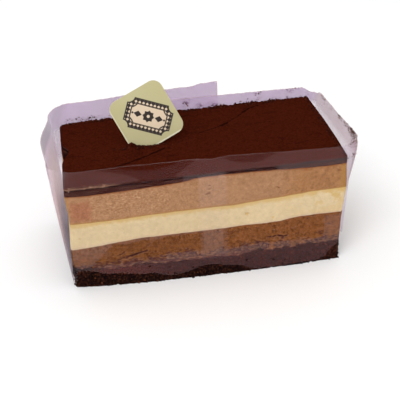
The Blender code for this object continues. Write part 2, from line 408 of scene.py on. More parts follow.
def cake_back(x, z):
    bulge = smooth((x + CAKE_LENGTH / 2) / BACK_BULGE_START)
    bulge = bulge * (1 - BACK_BULGE_LESS * np.maximum(0.0, x / (CAKE_LENGTH / 2)) ** 2)
    side = CAKE_DEPTH / 2 + BACK_SKEW * x + FOOT_BULGE_BACK * foot_spread(x, z)
    return side + BACK_BULGE * z / CAKE_HEIGHT * bulge


def sway(x, y, z):
    """How far a point of the bar is moved to the right."""
    waist = WAIST_SWAY * np.exp(-(((z - WAIST_HEIGHT) / WAIST_REACH) ** 2))
    middle = np.maximum(0.0, 1 - ((y - RIGHT_BULGE_MIDDLE) / RIGHT_BULGE_REACH) ** 2)
    lean = RIGHT_LEAN * (z / CAKE_HEIGHT - 0.5) + RIGHT_BULGE * z / CAKE_HEIGHT * middle
    return waist + lean * np.maximum(0.0, x / (CAKE_LENGTH / 2)) ** RIGHT_LEAN_POWER


print("front at the middle of the foot, mm:", round(float(cake_front(0.0, 0.0)) * 1000, 2))

# %% [markdown]
# ## Where one layer meets the next
#
# Each mousse was poured on the one below, so the borders are nearly flat but never ruled lines. A
# smooth random field adds the wander. The sponge is different: mousse sinks between its crumbs, so
# its top is ragged. Along the front, where everyone looks, the borders follow measured heights.

# %% Heights along the front
# Heights of the borders along the cut front, in mm: (x, height).
SPONGE_FRONT = (
    (-52.5, 10.2), (-50.0, 9.3), (-46.0, 9.0), (-41.0, 8.1), (-36.0, 7.6), (-31.0, 7.9),
    (-25.0, 8.3), (-19.0, 7.6), (-11.0, 7.4), (-6.5, 7.0), (-1.0, 7.7), (4.0, 7.5), (10.0, 6.9),
    (15.0, 7.5), (20.0, 8.5), (24.5, 7.2), (29.5, 8.2), (32.0, 7.7), (38.5, 8.8), (44.0, 8.0),
    (49.0, 8.4), (52.5, 8.7),
)
DARK_FRONT = (
    (-52.5, 17.9), (-42.0, 18.5), (-34.0, 19.3), (-26.0, 19.9), (-10.0, 19.9), (6.0, 19.8),
    (14.0, 20.1), (22.0, 19.9), (27.0, 20.1), (34.0, 21.0), (42.0, 21.3), (52.5, 21.0),
)
WHITE_FRONT = (
    (-52.5, 29.3), (-38.0, 29.2), (-26.0, 29.6), (-2.0, 29.8), (8.0, 29.6), (22.0, 30.4),
    (31.0, 30.9), (38.0, 31.5), (52.5, 31.7),
)
MILK_FRONT = (
    (-52.5, 41.3), (-44.0, 41.0), (-34.0, 41.1), (-20.0, 41.6), (-10.0, 42.1), (-3.0, 43.1),
    (12.0, 43.1), (24.0, 42.7), (36.0, 42.0), (46.0, 41.8), (52.5, 42.0),
)
FRONT_DEPTH = 14 * MM  # how far in from the front they still tell
print("heights given:", len(SPONGE_FRONT) + len(DARK_FRONT) + len(WHITE_FRONT) + len(MILK_FRONT))

# %% A random field
LATTICE = 97  # cells after which the random field repeats


def field(x, y, seed):
    """Smooth random heights between -1 and 1, on a lattice of one unit."""
    lattice = np.random.default_rng(seed).uniform(-1, 1, (LATTICE, LATTICE))
    column = np.floor(x).astype(int)
    row = np.floor(y).astype(int)
    left, right = column % LATTICE, (column + 1) % LATTICE
    below, above = row % LATTICE, (row + 1) % LATTICE
    across = smooth(x - column)
    near = blend(lattice[left, below], lattice[right, below], across)
    far = blend(lattice[left, above], lattice[right, above], across)
    return blend(near, far, smooth(y - row))


print("the field at one place:", round(float(field(np.array(0.4), np.array(0.7), 1)), 3))


# %% Borders between the layers
def border(terms, along_front, wander, lump, seed):
    """A border's height at any place: the frame's own surface, with wander in lumps of that size."""
    stations, heights = np.array(along_front).T * MM

    def height(x, y):
        middle, slope, sag, twist = terms
        station = x / (CAKE_LENGTH / 2)
        wave = np.sin(math.tau * y / LAYER_WAVE_LENGTH) * np.cos(math.tau * (x - y) / LAYER_WAVE_LENGTH)
        z = middle + slope * station + sag * station**2 + twist * station**3 + LAYER_WAVE * wave
        at_front = np.exp(-(((y + CAKE_DEPTH / 2) / FRONT_DEPTH) ** 2))
        z = blend(z, np.interp(x, stations, heights), at_front)
        # Lumps of the given size carry lumps a third as large and half as high.
        rough = field(x / lump, y / lump, seed) + 0.5 * field(3 * x / lump, 3 * y / lump, seed + 1)
        return z + wander * rough

    return height


def level_at(height):
    return lambda x, y: np.full_like(x, height)


BORDERS = (
    level_at(0.0),
    border(SPONGE_TOP, SPONGE_FRONT, 0.45 * MM, 2.2 * MM, 11),
    border(DARK_TOP, DARK_FRONT, 0.12 * MM, 3.5 * MM, 21),
    border(WHITE_TOP, WHITE_FRONT, 0.10 * MM, 3.5 * MM, 31),
    border(MILK_TOP, MILK_FRONT, 0.14 * MM, 2.5 * MM, 41),
    level_at(CAKE_HEIGHT),
)
print("borders:", len(BORDERS))

# %% [markdown]
# ## The plan of the bar
#
# All five blocks share one plan, a rectangle with slightly rounded corners. We lay a fine grid on
# it, about a third of a millimetre a cell, because that is the scale of the crumb and the bubbles.
# The grid's outer points make the ring that every wall stands on, and the whole grid makes the
# dusted top. At a corner, a square-to-disc formula rounds the grid off without breaking it.

# %% The shared grid
CELL = 0.3 * MM
CELLS_LONG = round(CAKE_LENGTH / CELL)
CELLS_DEEP = round(CAKE_DEPTH / CELL)


def rounded(x, y):
    """Grid points drawn in at the four corners, onto arcs."""
    over_x = np.maximum(np.abs(x) - (CAKE_LENGTH / 2 - CORNER_RADIUS), 0) / CORNER_RADIUS
    over_y = np.maximum(np.abs(y) - (CAKE_DEPTH / 2 - CORNER_RADIUS), 0) / CORNER_RADIUS
    in_x = over_x - over_x * np.sqrt(1 - over_y**2 / 2)
    in_y = over_y - over_y * np.sqrt(1 - over_x**2 / 2)
    return x - np.sign(x) * in_x * CORNER_RADIUS, y - np.sign(y) * in_y * CORNER_RADIUS


def shared_grid():
    """Plan points of the whole grid, and the indices of its outer ring, anticlockwise from above."""
    long = np.linspace(-CAKE_LENGTH / 2, CAKE_LENGTH / 2, CELLS_LONG + 1)
    deep = np.linspace(-CAKE_DEPTH / 2, CAKE_DEPTH / 2, CELLS_DEEP + 1)
    x, y = rounded(*np.meshgrid(long, deep, indexing="ij"))
    index = np.arange(x.size).reshape(x.shape)
    ring = np.concatenate((index[:-1, 0], index[-1, :-1], index[:0:-1, -1], index[0, :0:-1]))
    return x.ravel(), y.ravel(), index, ring


GRID_X, GRID_Y, GRID_INDEX, GRID_RING = shared_grid()
RING_X = GRID_X[GRID_RING]
RING_Y = GRID_Y[GRID_RING]
RING_RUN = np.concatenate(([0], np.cumsum(np.hypot(np.diff(RING_X), np.diff(RING_Y)))))
print("points in the grid:", GRID_X.size, "in the ring:", GRID_RING.size)

# %% [markdown]
# ## Marks of the knife
#
# A cut face isn't clean: the knife drags a crumb and leaves a crack, and air leaves small pits.
# Those at the front are placed where the real ones are; on the sides that nobody has seen, a seeded
# random draw makes the same kind. Each is a short stroke: two ends, a width and a depth. The place
# on the wall is the run along the ring, which at the front starts at the left corner.

# %% Cracks and pits
FRONT_CRACKS = (  # in mm: x and z of both ends, width, depth
    (-35.5, 10.9, -33.0, 11.9, 0.40, 0.6),
    (-33.0, 11.9, -30.5, 12.2, 0.34, 0.8),
    (-30.5, 12.2, -27.0, 13.2, 0.48, 1.0),
    (-27.0, 13.2, -24.2, 13.7, 0.30, 0.8),
    (-33.2, 11.2, -31.6, 11.5, 0.30, 0.5),
    (-35.6, 12.9, -34.0, 13.4, 0.34, 0.6),
    (-34.0, 13.4, -32.6, 14.5, 0.28, 0.6),
    (-24.0, 15.5, -22.6, 17.4, 0.26, 0.4),
    (22.5, 13.4, 24.0, 13.0, 0.36, 0.7),
    (24.0, 13.0, 26.4, 13.6, 0.30, 0.9),
    (26.4, 13.6, 28.6, 12.8, 0.42, 0.8),
    (28.6, 12.8, 30.8, 13.1, 0.28, 0.7),
    (24.6, 12.2, 26.2, 12.0, 0.24, 0.4),
    (27.4, 11.9, 29.6, 11.6, 0.22, 0.4),
    (18.6, 8.2, 20.0, 9.9, 0.30, 0.6),
    (20.0, 9.9, 21.4, 11.4, 0.26, 0.5),
    (20.4, 10.4, 22.6, 10.9, 0.28, 0.5),
    (41.6, 9.6, 43.6, 8.9, 0.42, 0.8),
    (39.4, 8.4, 40.6, 7.9, 0.34, 0.6),
    (46.5, 16.2, 47.8, 15.9, 0.30, 0.6),
    (47.8, 15.9, 49.0, 15.2, 0.24, 0.5),
    (43.8, 17.6, 44.8, 17.3, 0.24, 0.4),
    (45.9, 9.6, 47.6, 9.1, 0.34, 0.6),
    (3.0, 9.3, 5.4, 8.7, 0.34, 0.5),
    (-2.0, 9.0, 1.0, 8.6, 0.32, 0.5),
    (-15.4, 9.2, -12.2, 9.7, 0.32, 0.5),
    (-20.5, 9.6, -18.4, 10.1, 0.28, 0.4),
    (-7.4, 9.8, -5.2, 10.4, 0.30, 0.5),
    (10.2, 8.9, 12.6, 9.4, 0.30, 0.5),
)
FRONT_PITS = (
    (-0.6, 39.0, 0.5, 39.4, 0.30, 0.5),
    (-0.6, 37.4, 0.5, 37.8, 0.32, 0.5),
    (-1.7, 35.6, 0.1, 36.0, 0.36, 0.6),
    (25.0, 35.3, 26.3, 34.6, 0.33, 0.6),
    (5.4, 36.9, 6.0, 36.6, 0.22, 0.3),
    (50.6, 41.7, 50.9, 41.5, 0.42, 0.7),
    (48.9, 39.2, 50.1, 38.8, 0.35, 0.5),
    (49.2, 39.9, 49.5, 39.2, 0.25, 0.4),
    (13.2, 25.2, 14.6, 25.1, 0.40, 0.6),
    (-49.2, 22.7, -49.0, 22.5, 0.40, 0.5),
    (-49.9, 28.6, -49.7, 28.4, 0.25, 0.3),
    (-36.6, 34.6, -36.2, 34.5, 0.25, 0.3),
)
# Added to a mark, this turns the x of its ends into runs along the ring.
X_TO_RUN = np.array((1, 0, 1, 0, 0, 0)) * (CAKE_LENGTH / 2) / MM
print("marks at the front:", len(FRONT_CRACKS) + len(FRONT_PITS))

# %% Marks on the other sides, and how deep they cut
HIDDEN_MARKS = {"sponge_base": 0, "dark_mousse": 30, "white_mousse": 7, "milk_mousse": 22, "ganache": 0}
MARK_LENGTHS = (0.6, 1.5, 4.0)  # in mm
MARK_ODDS = (0.5, 0.3, 0.2)  # of each length
MARK_SLANTS = (-0.4, 0.5)  # lowest and highest slope
MARK_WIDTHS = (0.25, 0.55)  # least and greatest, in mm
MARK_CUT = 1.4  # depth of a mark, in widths
MARK_REACH = 1.35  # widths from a mark's line to where its rim ends
MARK_LUMP = 0.6  # size of the lumps in its rim, in mm
MARK_RAGGED = 0.7  # share by which they change its width


def hidden_marks(name, low, high):
    """Random cracks and pits on the right, back and left sides of one layer."""
    draw = np.random.default_rng(len(name) + 60)
    marks = []
    for _ in range(HIDDEN_MARKS[name]):
        run = draw.uniform(CAKE_LENGTH, RING_RUN[-1]) / MM
        height = draw.uniform(low, high)
        length = draw.choice(MARK_LENGTHS, p=MARK_ODDS)
        slant = draw.uniform(*MARK_SLANTS) * length
        width = draw.uniform(*MARK_WIDTHS)
        marks.append((run, height, run + length, height + slant, width, MARK_CUT * width))
    return marks


def cut_depth(run, z, marks):
    """How deep the marks cut at each point of a wall, in mm, with a slightly ragged rim."""
    depth = np.zeros_like(run)
    ragged = 1 + MARK_RAGGED * field(run / MARK_LUMP, z / MARK_LUMP, 71)
    for start_run, start_z, end_run, end_z, width, cut in marks:
        along, up = end_run - start_run, end_z - start_z
        part = ((run - start_run) * along + (z - start_z) * up) / (along**2 + up**2)
        part = np.clip(part, 0, 1)
        away = np.hypot(run - start_run - part * along, z - start_z - part * up)
        # A mark is shallower towards its ends.
        taper = 0.55 + 0.45 * np.sin(math.pi * np.clip(part, 0.05, 0.95))
        depth = np.maximum(depth, cut * taper * smooth(MARK_REACH - away / (width * ragged)))
    return depth


print("marks on the other sides:", sum(HIDDEN_MARKS.values()))

# %% [markdown]
# ## The dusted top
#
# Cocoa powder heaps up where something was pushed into it, here at the foot of the tag, and along
# the back edge, where the film stopped it. The skin under it has a few creases. The left rim is
# worn, with one shallow dent. All of these are rules that give a height or a depth at any place.

# %% Creases and heaps
CREASES = (  # in the dusted top, in mm: both ends, width, depth
    (-33.5, -15.4, -26.5, -12.2, 0.50, 0.28),
    (-26.5, -12.2, -20.5, -9.1, 0.55, 0.33),
    (-20.5, -9.1, -12.6, -4.3, 0.50, 0.28),
    (-22.5, -11.0, -10.0, -6.8, 0.35, 0.12),
    (-7.5, -1.6, -3.5, 1.6, 0.4, 0.12),
    (1.5, 4.4, 5.4, 6.0, 0.44, 0.16),
    (5.4, 6.0, 11.8, 8.6, 0.40, 0.18),
    (11.8, 8.6, 15.4, 11.1, 0.62, 0.30),
    (15.4, 11.1, 19.6, 14.6, 0.38, 0.17),
    (19.6, 14.6, 23.0, 18.2, 0.42, 0.19),
    (23.0, 18.2, 26.5, 21.4, 0.58, 0.27),
    (26.5, 21.4, 32.0, 24.2, 0.44, 0.20),
    (32.0, 24.2, 37.5, 26.4, 0.38, 0.16),
    (-8.0, 19.5, 0.5, 21.4, 0.60, 0.16),
)
HEAPS = (  # rises in the dusted top, in mm: x, y, reach along x and y, height
    (-25.6, -2.0, 1.5, 1.1, 2.1),  # at the foot of the tag
    (-23.2, -2.0, 2.0, 0.8, 0.8),
    (-19.5, -2.2, 3.0, 0.7, 0.45),
    (-14.0, -2.6, 2.2, 0.8, 1.0),
)
BACK_HEAP = 0.55  # height of the powder along the back edge, in mm
BACK_HEAP_START = 24.6  # the y where it starts to rise
BACK_HEAP_RISE = 1.2  # over which it comes to its height
BACK_HEAP_LEFT = -50.0  # the x where it sets in
BACK_HEAP_FADE = 5.0  # over which it does so
BACK_HEAP_LUMP = 0.9  # size of its lumps
HEAP_LUMP = 0.8  # and of those of the heaps


def heaps(x, y):
    """How far the powder stands above the plain top, in metres, at places in mm."""
    rise = BACK_HEAP * smooth((y - BACK_HEAP_START) / BACK_HEAP_RISE)
    rise = rise * (0.75 + 0.65 * field(x / BACK_HEAP_LUMP, y / BACK_HEAP_LUMP, 51))
    rise = rise * smooth((x - BACK_HEAP_LEFT) / BACK_HEAP_FADE)
    for middle_x, middle_y, reach_x, reach_y, height in HEAPS:
        away = ((x - middle_x) / reach_x) ** 2 + ((y - middle_y) / reach_y) ** 2
        rise = rise + height * np.exp(-away) * (1 + 0.25 * field(x / HEAP_LUMP, y / HEAP_LUMP, 52))
    return rise * MM


print("creases:", len(CREASES), "heaps:", len(HEAPS))

# %% The worn left rim
DENT_MIDDLE = 2.0 * MM  # of the dent in the left rim
DENT_REACH = 5.0 * MM
DENT_DEPTH = 3.5 * MM
DENT_EDGE = 0.3 * MM  # how far the rest of the left rim is worn
WEAR_START = 39 * MM  # the height where the wear begins
WEAR_RISE = 5 * MM  # over which it grows to its whole depth
WEAR_POWER = 24  # of the station, so that only the very end is worn


def rim_dent(x, y, z):
    """How far the worn left rim of the top lies inward, deepest in one place."""
    depth = DENT_EDGE + (DENT_DEPTH - DENT_EDGE) * np.exp(-(((y - DENT_MIDDLE) / DENT_REACH) ** 2))
    at_the_end = np.maximum(0.0, -x / (CAKE_LENGTH / 2)) ** WEAR_POWER
    return depth * smooth((z - WEAR_START) / WEAR_RISE) * at_the_end


def bar_point(x, y, z):
    """A plan point at a height, bent as the knife left the bar."""
    x = x + sway(x, y, z) + rim_dent(x, y, z)
    return np.stack((x, blend(cake_front(x, z), cake_back(x, z), y / CAKE_DEPTH + 0.5), z), axis=-1)


print("deepest wear, mm:", round(float(rim_dent(-CAKE_LENGTH / 2, DENT_MIDDLE, CAKE_HEIGHT)) * 1000, 2))

# %% [markdown]
# ## The blocks
#
# A block is a wall of rows between its two borders, closed by a cap below and one above. Hidden
# caps need few faces, so Blender's Delaunay function joins the fine ring to a coarse inner grid.
# The top of the ganache shows, so it keeps the whole fine grid, with its rim rounded a little.
#
# Each point also keeps what the later steps need: the way out of the surface, how deep a mark cuts,
# and how far up its layer it is.

# %% A coarse cap
INNER_CELL = 4 * MM


def coarse_cap():
    """Triangles over the plan, between the ring's points and a coarse inner grid."""
    long = np.arange(-CAKE_LENGTH / 2 + INNER_CELL, CAKE_LENGTH / 2 - INNER_CELL / 2, INNER_CELL)
    deep = np.arange(-CAKE_DEPTH / 2 + INNER_CELL, CAKE_DEPTH / 2 - INNER_CELL / 2, INNER_CELL)
    inner_x, inner_y = (part.ravel() for part in np.meshgrid(long, deep))
    x = np.concatenate((RING_X, inner_x))
    y = np.concatenate((RING_Y, inner_y))
    points = [Vector(point) for point in zip(x / MM, y / MM)]
    outline = [list(range(RING_X.size))]
    _, _, faces, sources, _, _ = geometry.delaunay_2d_cdt(points, [], outline, 1, 1e-6)
    triangles = [[sources[corner][0] for corner in face] for face in faces]
    return inner_x, inner_y, triangles


CAP_X, CAP_Y, CAP_TRIANGLES = coarse_cap()
print("faces of a hidden cap:", len(CAP_TRIANGLES))


# %% A mesh that grows
def ring_outward():
    """The level way out at each point of the ring."""
    ahead = np.roll(RING_X, -1) - np.roll(RING_X, 1), np.roll(RING_Y, -1) - np.roll(RING_Y, 1)
    length = np.hypot(*ahead)
    return np.stack((ahead[1] / length, -ahead[0] / length, np.zeros_like(length)), axis=-1)


def store(mesh, name, values, kind="FLOAT"):
    """Keeps a number or a vector at each point of a mesh."""
    attribute = mesh.attributes.new(name, kind, "POINT")
    part = "vector" if kind == "FLOAT_VECTOR" else "value"
    attribute.data.foreach_set(part, values.astype(np.float32).ravel())


def new_object(name, mesh):
    made = bpy.data.objects.new(name, mesh)
    bpy.context.scene.collection.objects.link(made)
    return made


class Growing:
    """A mesh that is built up part by part, with what the later steps read at its points."""

    def __init__(self):
        self.points = []
        self.outward = []
        self.rise = []
        self.carve = []
        self.faces = []

    def add(self, points, outward, rise, carve):
        """Adds the points of one part, and gives the number of the first."""
        start = sum(len(part) for part in self.points)
        self.points.append(points)
        self.outward.append(outward)
        self.rise.append(rise)
        self.carve.append(carve)
        return start

    def make(self, name):
        mesh = bpy.data.meshes.new(name)
        mesh.from_pydata(np.concatenate(self.points).tolist(), [], self.faces)
        store(mesh, "outward", np.concatenate(self.outward), "FLOAT_VECTOR")
        store(mesh, "rise", np.concatenate(self.rise))
        store(mesh, "carve", np.concatenate(self.carve))
        return new_object(name + "_cut", mesh)


print("an empty mesh has", len(Growing().faces), "faces")

# %% The wall and the caps
MARK_MARGIN = 1.5  # between a hidden mark and its layer's borders, in mm
RIM_DROP = 0.45 * MM
RIM_REACH = 0.8 * MM


def add_wall(mesh, name, low, high, rows):
    """The wall of a layer: rows of points on the ring, joined by four-sided faces."""
    count = RING_X.size
    part = np.linspace(0, 1, rows + 1)[:, None]
    z = blend(low, high, part)
    points = bar_point(RING_X + 0 * z, RING_Y + 0 * z, z).reshape(-1, 3)
    front = np.array(FRONT_CRACKS + FRONT_PITS) + X_TO_RUN
    lowest = float(low.min()) / MM + MARK_MARGIN
    highest = float(high.max()) / MM - MARK_MARGIN
    marks = front.tolist() + hidden_marks(name, lowest, highest)
    carve = cut_depth(np.tile(RING_RUN, rows + 1) / MM, z.ravel() / MM, marks)
    mesh.add(points, np.tile(ring_outward(), (rows + 1, 1)), np.repeat(part.ravel(), count), carve)
    lower = np.arange(rows * count)
    ahead = lower + np.where(lower % count == count - 1, 1 - count, 1)
    mesh.faces += np.stack((lower, ahead, ahead + count, lower + count), axis=-1).tolist()


def add_hidden_cap(mesh, surface, ring_start, upward):
    """A coarse cap on the ring whose points start at a given number."""
    size = CAP_X.size
    points = bar_point(CAP_X, CAP_Y, surface(CAP_X, CAP_Y))
    start = mesh.add(points, np.zeros((size, 3)), np.full(size, float(upward)), np.zeros(size))
    for face in CAP_TRIANGLES:
        corners = [i + ring_start if i < RING_X.size else i - RING_X.size + start for i in face]
        mesh.faces.append(corners if upward else corners[::-1])


def closest_border(x, y):
    return np.minimum(CAKE_LENGTH / 2 - np.abs(x), CAKE_DEPTH / 2 - np.abs(y))


def add_dusted_cap(mesh, ring_start):
    """The top of the ganache, on the whole fine grid."""
    inner = np.ones(GRID_X.size, bool)
    inner[GRID_RING] = False
    x, y = GRID_X[inner], GRID_Y[inner]
    drop = RIM_DROP * np.clip(1 - closest_border(x, y) / RIM_REACH, 0, 1) ** 2
    points = bar_point(x, y, CAKE_HEIGHT - drop + heaps(x / MM, y / MM))
    straight_up = np.tile((0.0, 0.0, 1.0), (len(x), 1))
    start = mesh.add(points, straight_up, np.ones(len(x)), cut_depth(x / MM, y / MM, CREASES))
    number = np.empty(GRID_X.size, int)
    number[inner] = start + np.arange(inner.sum())
    number[GRID_RING] = ring_start + np.arange(RING_X.size)
    corners = (GRID_INDEX[:-1, :-1], GRID_INDEX[1:, :-1], GRID_INDEX[1:, 1:], GRID_INDEX[:-1, 1:])
    mesh.faces += number[np.stack(corners, axis=-1).reshape(-1, 4)].tolist()


print("points on the dusted top:", GRID_X.size)

# %% Build one block
LAYER_NAMES = ("sponge_base", "dark_mousse", "white_mousse", "milk_mousse", "ganache")
LEAST_ROWS = 4


def block(name, floor, ceiling):
    """One layer as a closed mesh, with the attributes that its relief and its finish read."""
    low, high = floor(RING_X, RING_Y), ceiling(RING_X, RING_Y)
    rows = max(LEAST_ROWS, round(float(np.mean(high - low)) / CELL))
    dusted = name == "ganache"
    if dusted:
        high = high - RIM_DROP + heaps(RING_X / MM, RING_Y / MM)
    mesh = Growing()
    add_wall(mesh, name, low, high, rows)
    add_hidden_cap(mesh, floor, 0, False)
    if dusted:
        add_dusted_cap(mesh, rows * RING_X.size)
    else:
        add_hidden_cap(mesh, ceiling, rows * RING_X.size, True)
    return mesh.make(name)


blocks = {name: block(name, BORDERS[i], BORDERS[i + 1]) for i, name in enumerate(LAYER_NAMES)}
for made in blocks.values():
    print(made.name, len(made.data.polygons), "faces")

# %% [markdown]
# ## Trees that make geometry
#
# Geometry Nodes does on the whole surface at once what would be a slow loop in Python. Each tree
# here has named inputs for its sizes. Its last two nodes realize the instances and set the finish,
# and afterwards the evaluated object is turned into a plain mesh.

# %% The geometry tree class
SOCKETS = {float: "NodeSocketFloat", int: "NodeSocketInt", bpy.types.Material: "NodeSocketMaterial"}


class Shaper(Tree):
    """A geometry tree whose inputs are given as name=first value."""

    def __init__(self, name, **inputs):
        self.group = bpy.data.node_groups.new(name, "GeometryNodeTree")
        super().__init__(self.group.nodes, self.group.links)
        face = self.group.interface
        face.new_socket("Geometry", in_out="INPUT", socket_type="NodeSocketGeometry")
        face.new_socket("Geometry", in_out="OUTPUT", socket_type="NodeSocketGeometry")
        self.ids = {}
        for label, kind in inputs.items():
            self.ids[label] = face.new_socket(label, in_out="INPUT", socket_type=SOCKETS[kind]).identifier
        self.given = self.node("NodeGroupInput")
        self.place = self.scaled(self.node("GeometryNodeInputPosition"), 1 / MM)

    def input(self, label):
        return self.given.other(label)

    def named(self, name, kind="FLOAT"):
        return self.node("GeometryNodeInputNamedAttribute", {"data_type": kind}, {"Name": name})

    def end(self, shape):
        shape = self.node("GeometryNodeRealizeInstances", None, {"Geometry": shape})
        shape = self.node(
            "GeometryNodeSetMaterial", None, {"Geometry": shape, "Material": self.input("Finish")}
        )
        output = self.nodes.new("NodeGroupOutput")
        self.feed(output.inputs["Geometry"], shape)

    def run(self, made, **values):
        """Puts the tree on an object, sets its inputs and leaves the result as a plain mesh."""
        modifier = made.modifiers.new(self.group.name, "NODES")
        modifier.node_group = self.group
        for label, value in values.items():
            modifier[self.ids[label]] = value
        return flatten(made)


def flatten(made):
    """The object with its modifiers turned into mesh."""
    depsgraph = bpy.context.evaluated_depsgraph_get()
    evaluated = made.evaluated_get(depsgraph)
    mesh = bpy.data.meshes.new_from_object(evaluated, preserve_all_data_layers=True, depsgraph=depsgraph)
    made.modifiers.clear()
    old = made.data
    made.data = mesh
    bpy.data.meshes.remove(old)
    return made


print("kinds of input:", ", ".join(SOCKETS.values()))

# %% [markdown]
# ## The relief of a cut face
#
# One tree serves all five layers. It moves each point along its way out by four things: a fine grain
# and a broad swell of soft noise, round bubbles from random cells, of which only some are open, and
# the marks that were drawn before. It keeps how deep bubble and mark went, for the colours to read.

# %% The cut face tree
OUTWARD_LIMIT = 0.22  # in mm, so that nothing reaches the film
RELIEF_SIZES = ("GrainSize", "GrainDepth", "SwellSize", "SwellDepth")
RELIEF_SIZES += ("BubbleSize", "BubbleDepth", "BubbleShare")
BUBBLE_RIM = 0.42  # from the middle of its cell, in cell sizes
BUBBLE_FLOOR = 0.12  # where it is at its deepest


def cut_face_tree():
    """A tree that moves each point of a block out by the relief and in by bubbles and marks."""
    sizes = {name: float for name in RELIEF_SIZES}
    tree = Shaper("cut_face", **sizes, Seed=float, Finish=bpy.types.Material)
    seed = tree.input("Seed")

    def lumps(size, shift, detail):
        place = tree.scaled(tree.place, 1 / tree.input(size))
        return tree.noise(place, 1.0, seed + shift, detail) * 2 - 1

    grain = lumps("GrainSize", 0.0, 3.0) * tree.input("GrainDepth")
    swell = lumps("SwellSize", 7.0, 1.0) * tree.input("SwellDepth")
    cells = tree.cells(tree.scaled(tree.place, 1 / tree.input("BubbleSize")), 1.0, seed)
    chance = tree.parts(cells.other("Color"))[0]
    open_cell = (tree.input("BubbleShare") - chance).step(0.0, 0.02)
    bubble = cells.step(BUBBLE_RIM, BUBBLE_FLOOR) * open_cell
    depth = bubble * tree.input("BubbleDepth") + tree.named("carve")
    out = ((grain + swell).low(OUTWARD_LIMIT) - depth) * MM
    offset = tree.scaled(tree.named("outward", "FLOAT_VECTOR"), out)
    shape = tree.node("GeometryNodeSetPosition", None, {"Geometry": tree.given, "Offset": offset})
    settings = {"data_type": "FLOAT", "domain": "POINT"}
    values = {"Geometry": shape, "Name": "depth", "Value": depth}
    shape = tree.node("GeometryNodeStoreNamedAttribute", settings, values)
    tree.end(shape)
    return tree


CUT_FACE = cut_face_tree()
print("cut face tree:", len(CUT_FACE.nodes), "nodes")

# %% [markdown]
# ## Mousse
#
# Mousse is a foam: matte, slightly mottled, with fine light and dark specks. Where bubbles and cracks
# were cut, their lips carry a painted highlight and their floors painted shade.
# Its three kinds share one recipe and differ in colour and in what the knife and the film did to
# them. Cocoa butter from above leaves an ochre line on the white layer and a few stains; the milk
# layer has browner stains near the ganache; the dark layer is streaked with crumb near the sponge.

# %% The recipe that all mousse shares
# Each kind's light and deep colours also give the painted highlight on the lips of pits and cracks and the
# painted shade in their floors.
MILK = (0.410, 0.231, 0.105)
MILK_LIGHT = (0.580, 0.365, 0.185)
MILK_PINK = (0.375, 0.160, 0.076)
MILK_BROWN = (0.290, 0.130, 0.045)
MILK_RIGHT = (0.366, 0.184, 0.066)
MILK_EDGE = (0.420, 0.230, 0.062)
MILK_RIM = (0.300, 0.100, 0.028)
WHITE = (0.690, 0.578, 0.316)
WHITE_PALE = (0.750, 0.645, 0.400)
WHITE_OCHRE = (0.630, 0.450, 0.150)
WHITE_FOOT = (0.560, 0.380, 0.270)
DARK = (0.182, 0.069, 0.0195)
DARK_LIGHT = (0.290, 0.145, 0.066)
DARK_DEEP = (0.060, 0.020, 0.020)
DARK_PALE = (0.235, 0.120, 0.066)
CRUMB_PURPLE = (0.070, 0.026, 0.024)
MEAN_GRAIN = 0.185  # taken off, so that a coarser grain leaves the mean colour as it is


def mousse(name, colour, light, deep, coarse, grain):
    """A finish with the mottling that all mousse shares, and the colour so far, to be worked on."""
    finish = Finish(name, Roughness=0.8, Specular_IOR_Level=0.0)
    slow = finish.noise(finish.place, 6.0, 1.0)
    middle = finish.noise(finish.place, 1.9, 4.0, 2.0)
    fine = finish.noise(finish.place, 0.8, 2.0, 3.0, 0.65)
    speck = finish.noise(finish.place, 0.42, 3.0, 1.0)
    grains = 0.07 * middle.step(0.40, 0.60) + 0.14 * fine.step(0.38, 0.62)
    grains = grains + 0.16 * speck.step(0.38, 0.62) - MEAN_GRAIN
    finish.mottle = 0.83 + 0.16 * slow + 0.18 * middle + grain * grains
    skin = finish.shade(colour, finish.mottle)
    skin = finish.mix(fine.step(0.58, 0.74) * coarse, skin, light)
    skin = finish.mix(fine.step(0.41, 0.28) * coarse, skin, deep)
    # Painted highlight on the lip round each pit and crack, and painted shade in its floor.
    depth = finish.attribute("depth")
    lip_highlight = depth.step(0.01, 0.06) * depth.step(0.30, 0.12)
    skin = finish.mix(lip_highlight * 0.55, skin, light)
    skin = finish.mix(depth.step(0.16, 0.50) * 0.92, skin, deep)
    return finish, skin, fine


def close_mousse(finish, skin, fine, slot):
    """Puts the colour and the fine relief on a mousse, and gives it with its material slot."""
    normal = finish.bump(fine, 0.14)
    return finish.wear(Base_Color=skin, Normal=normal), slot


def on_front(finish):
    """1 on the front side, 0 on the others."""
    return finish.y.step(-22.0, -24.0)


print("mean grain of mousse:", MEAN_GRAIN)


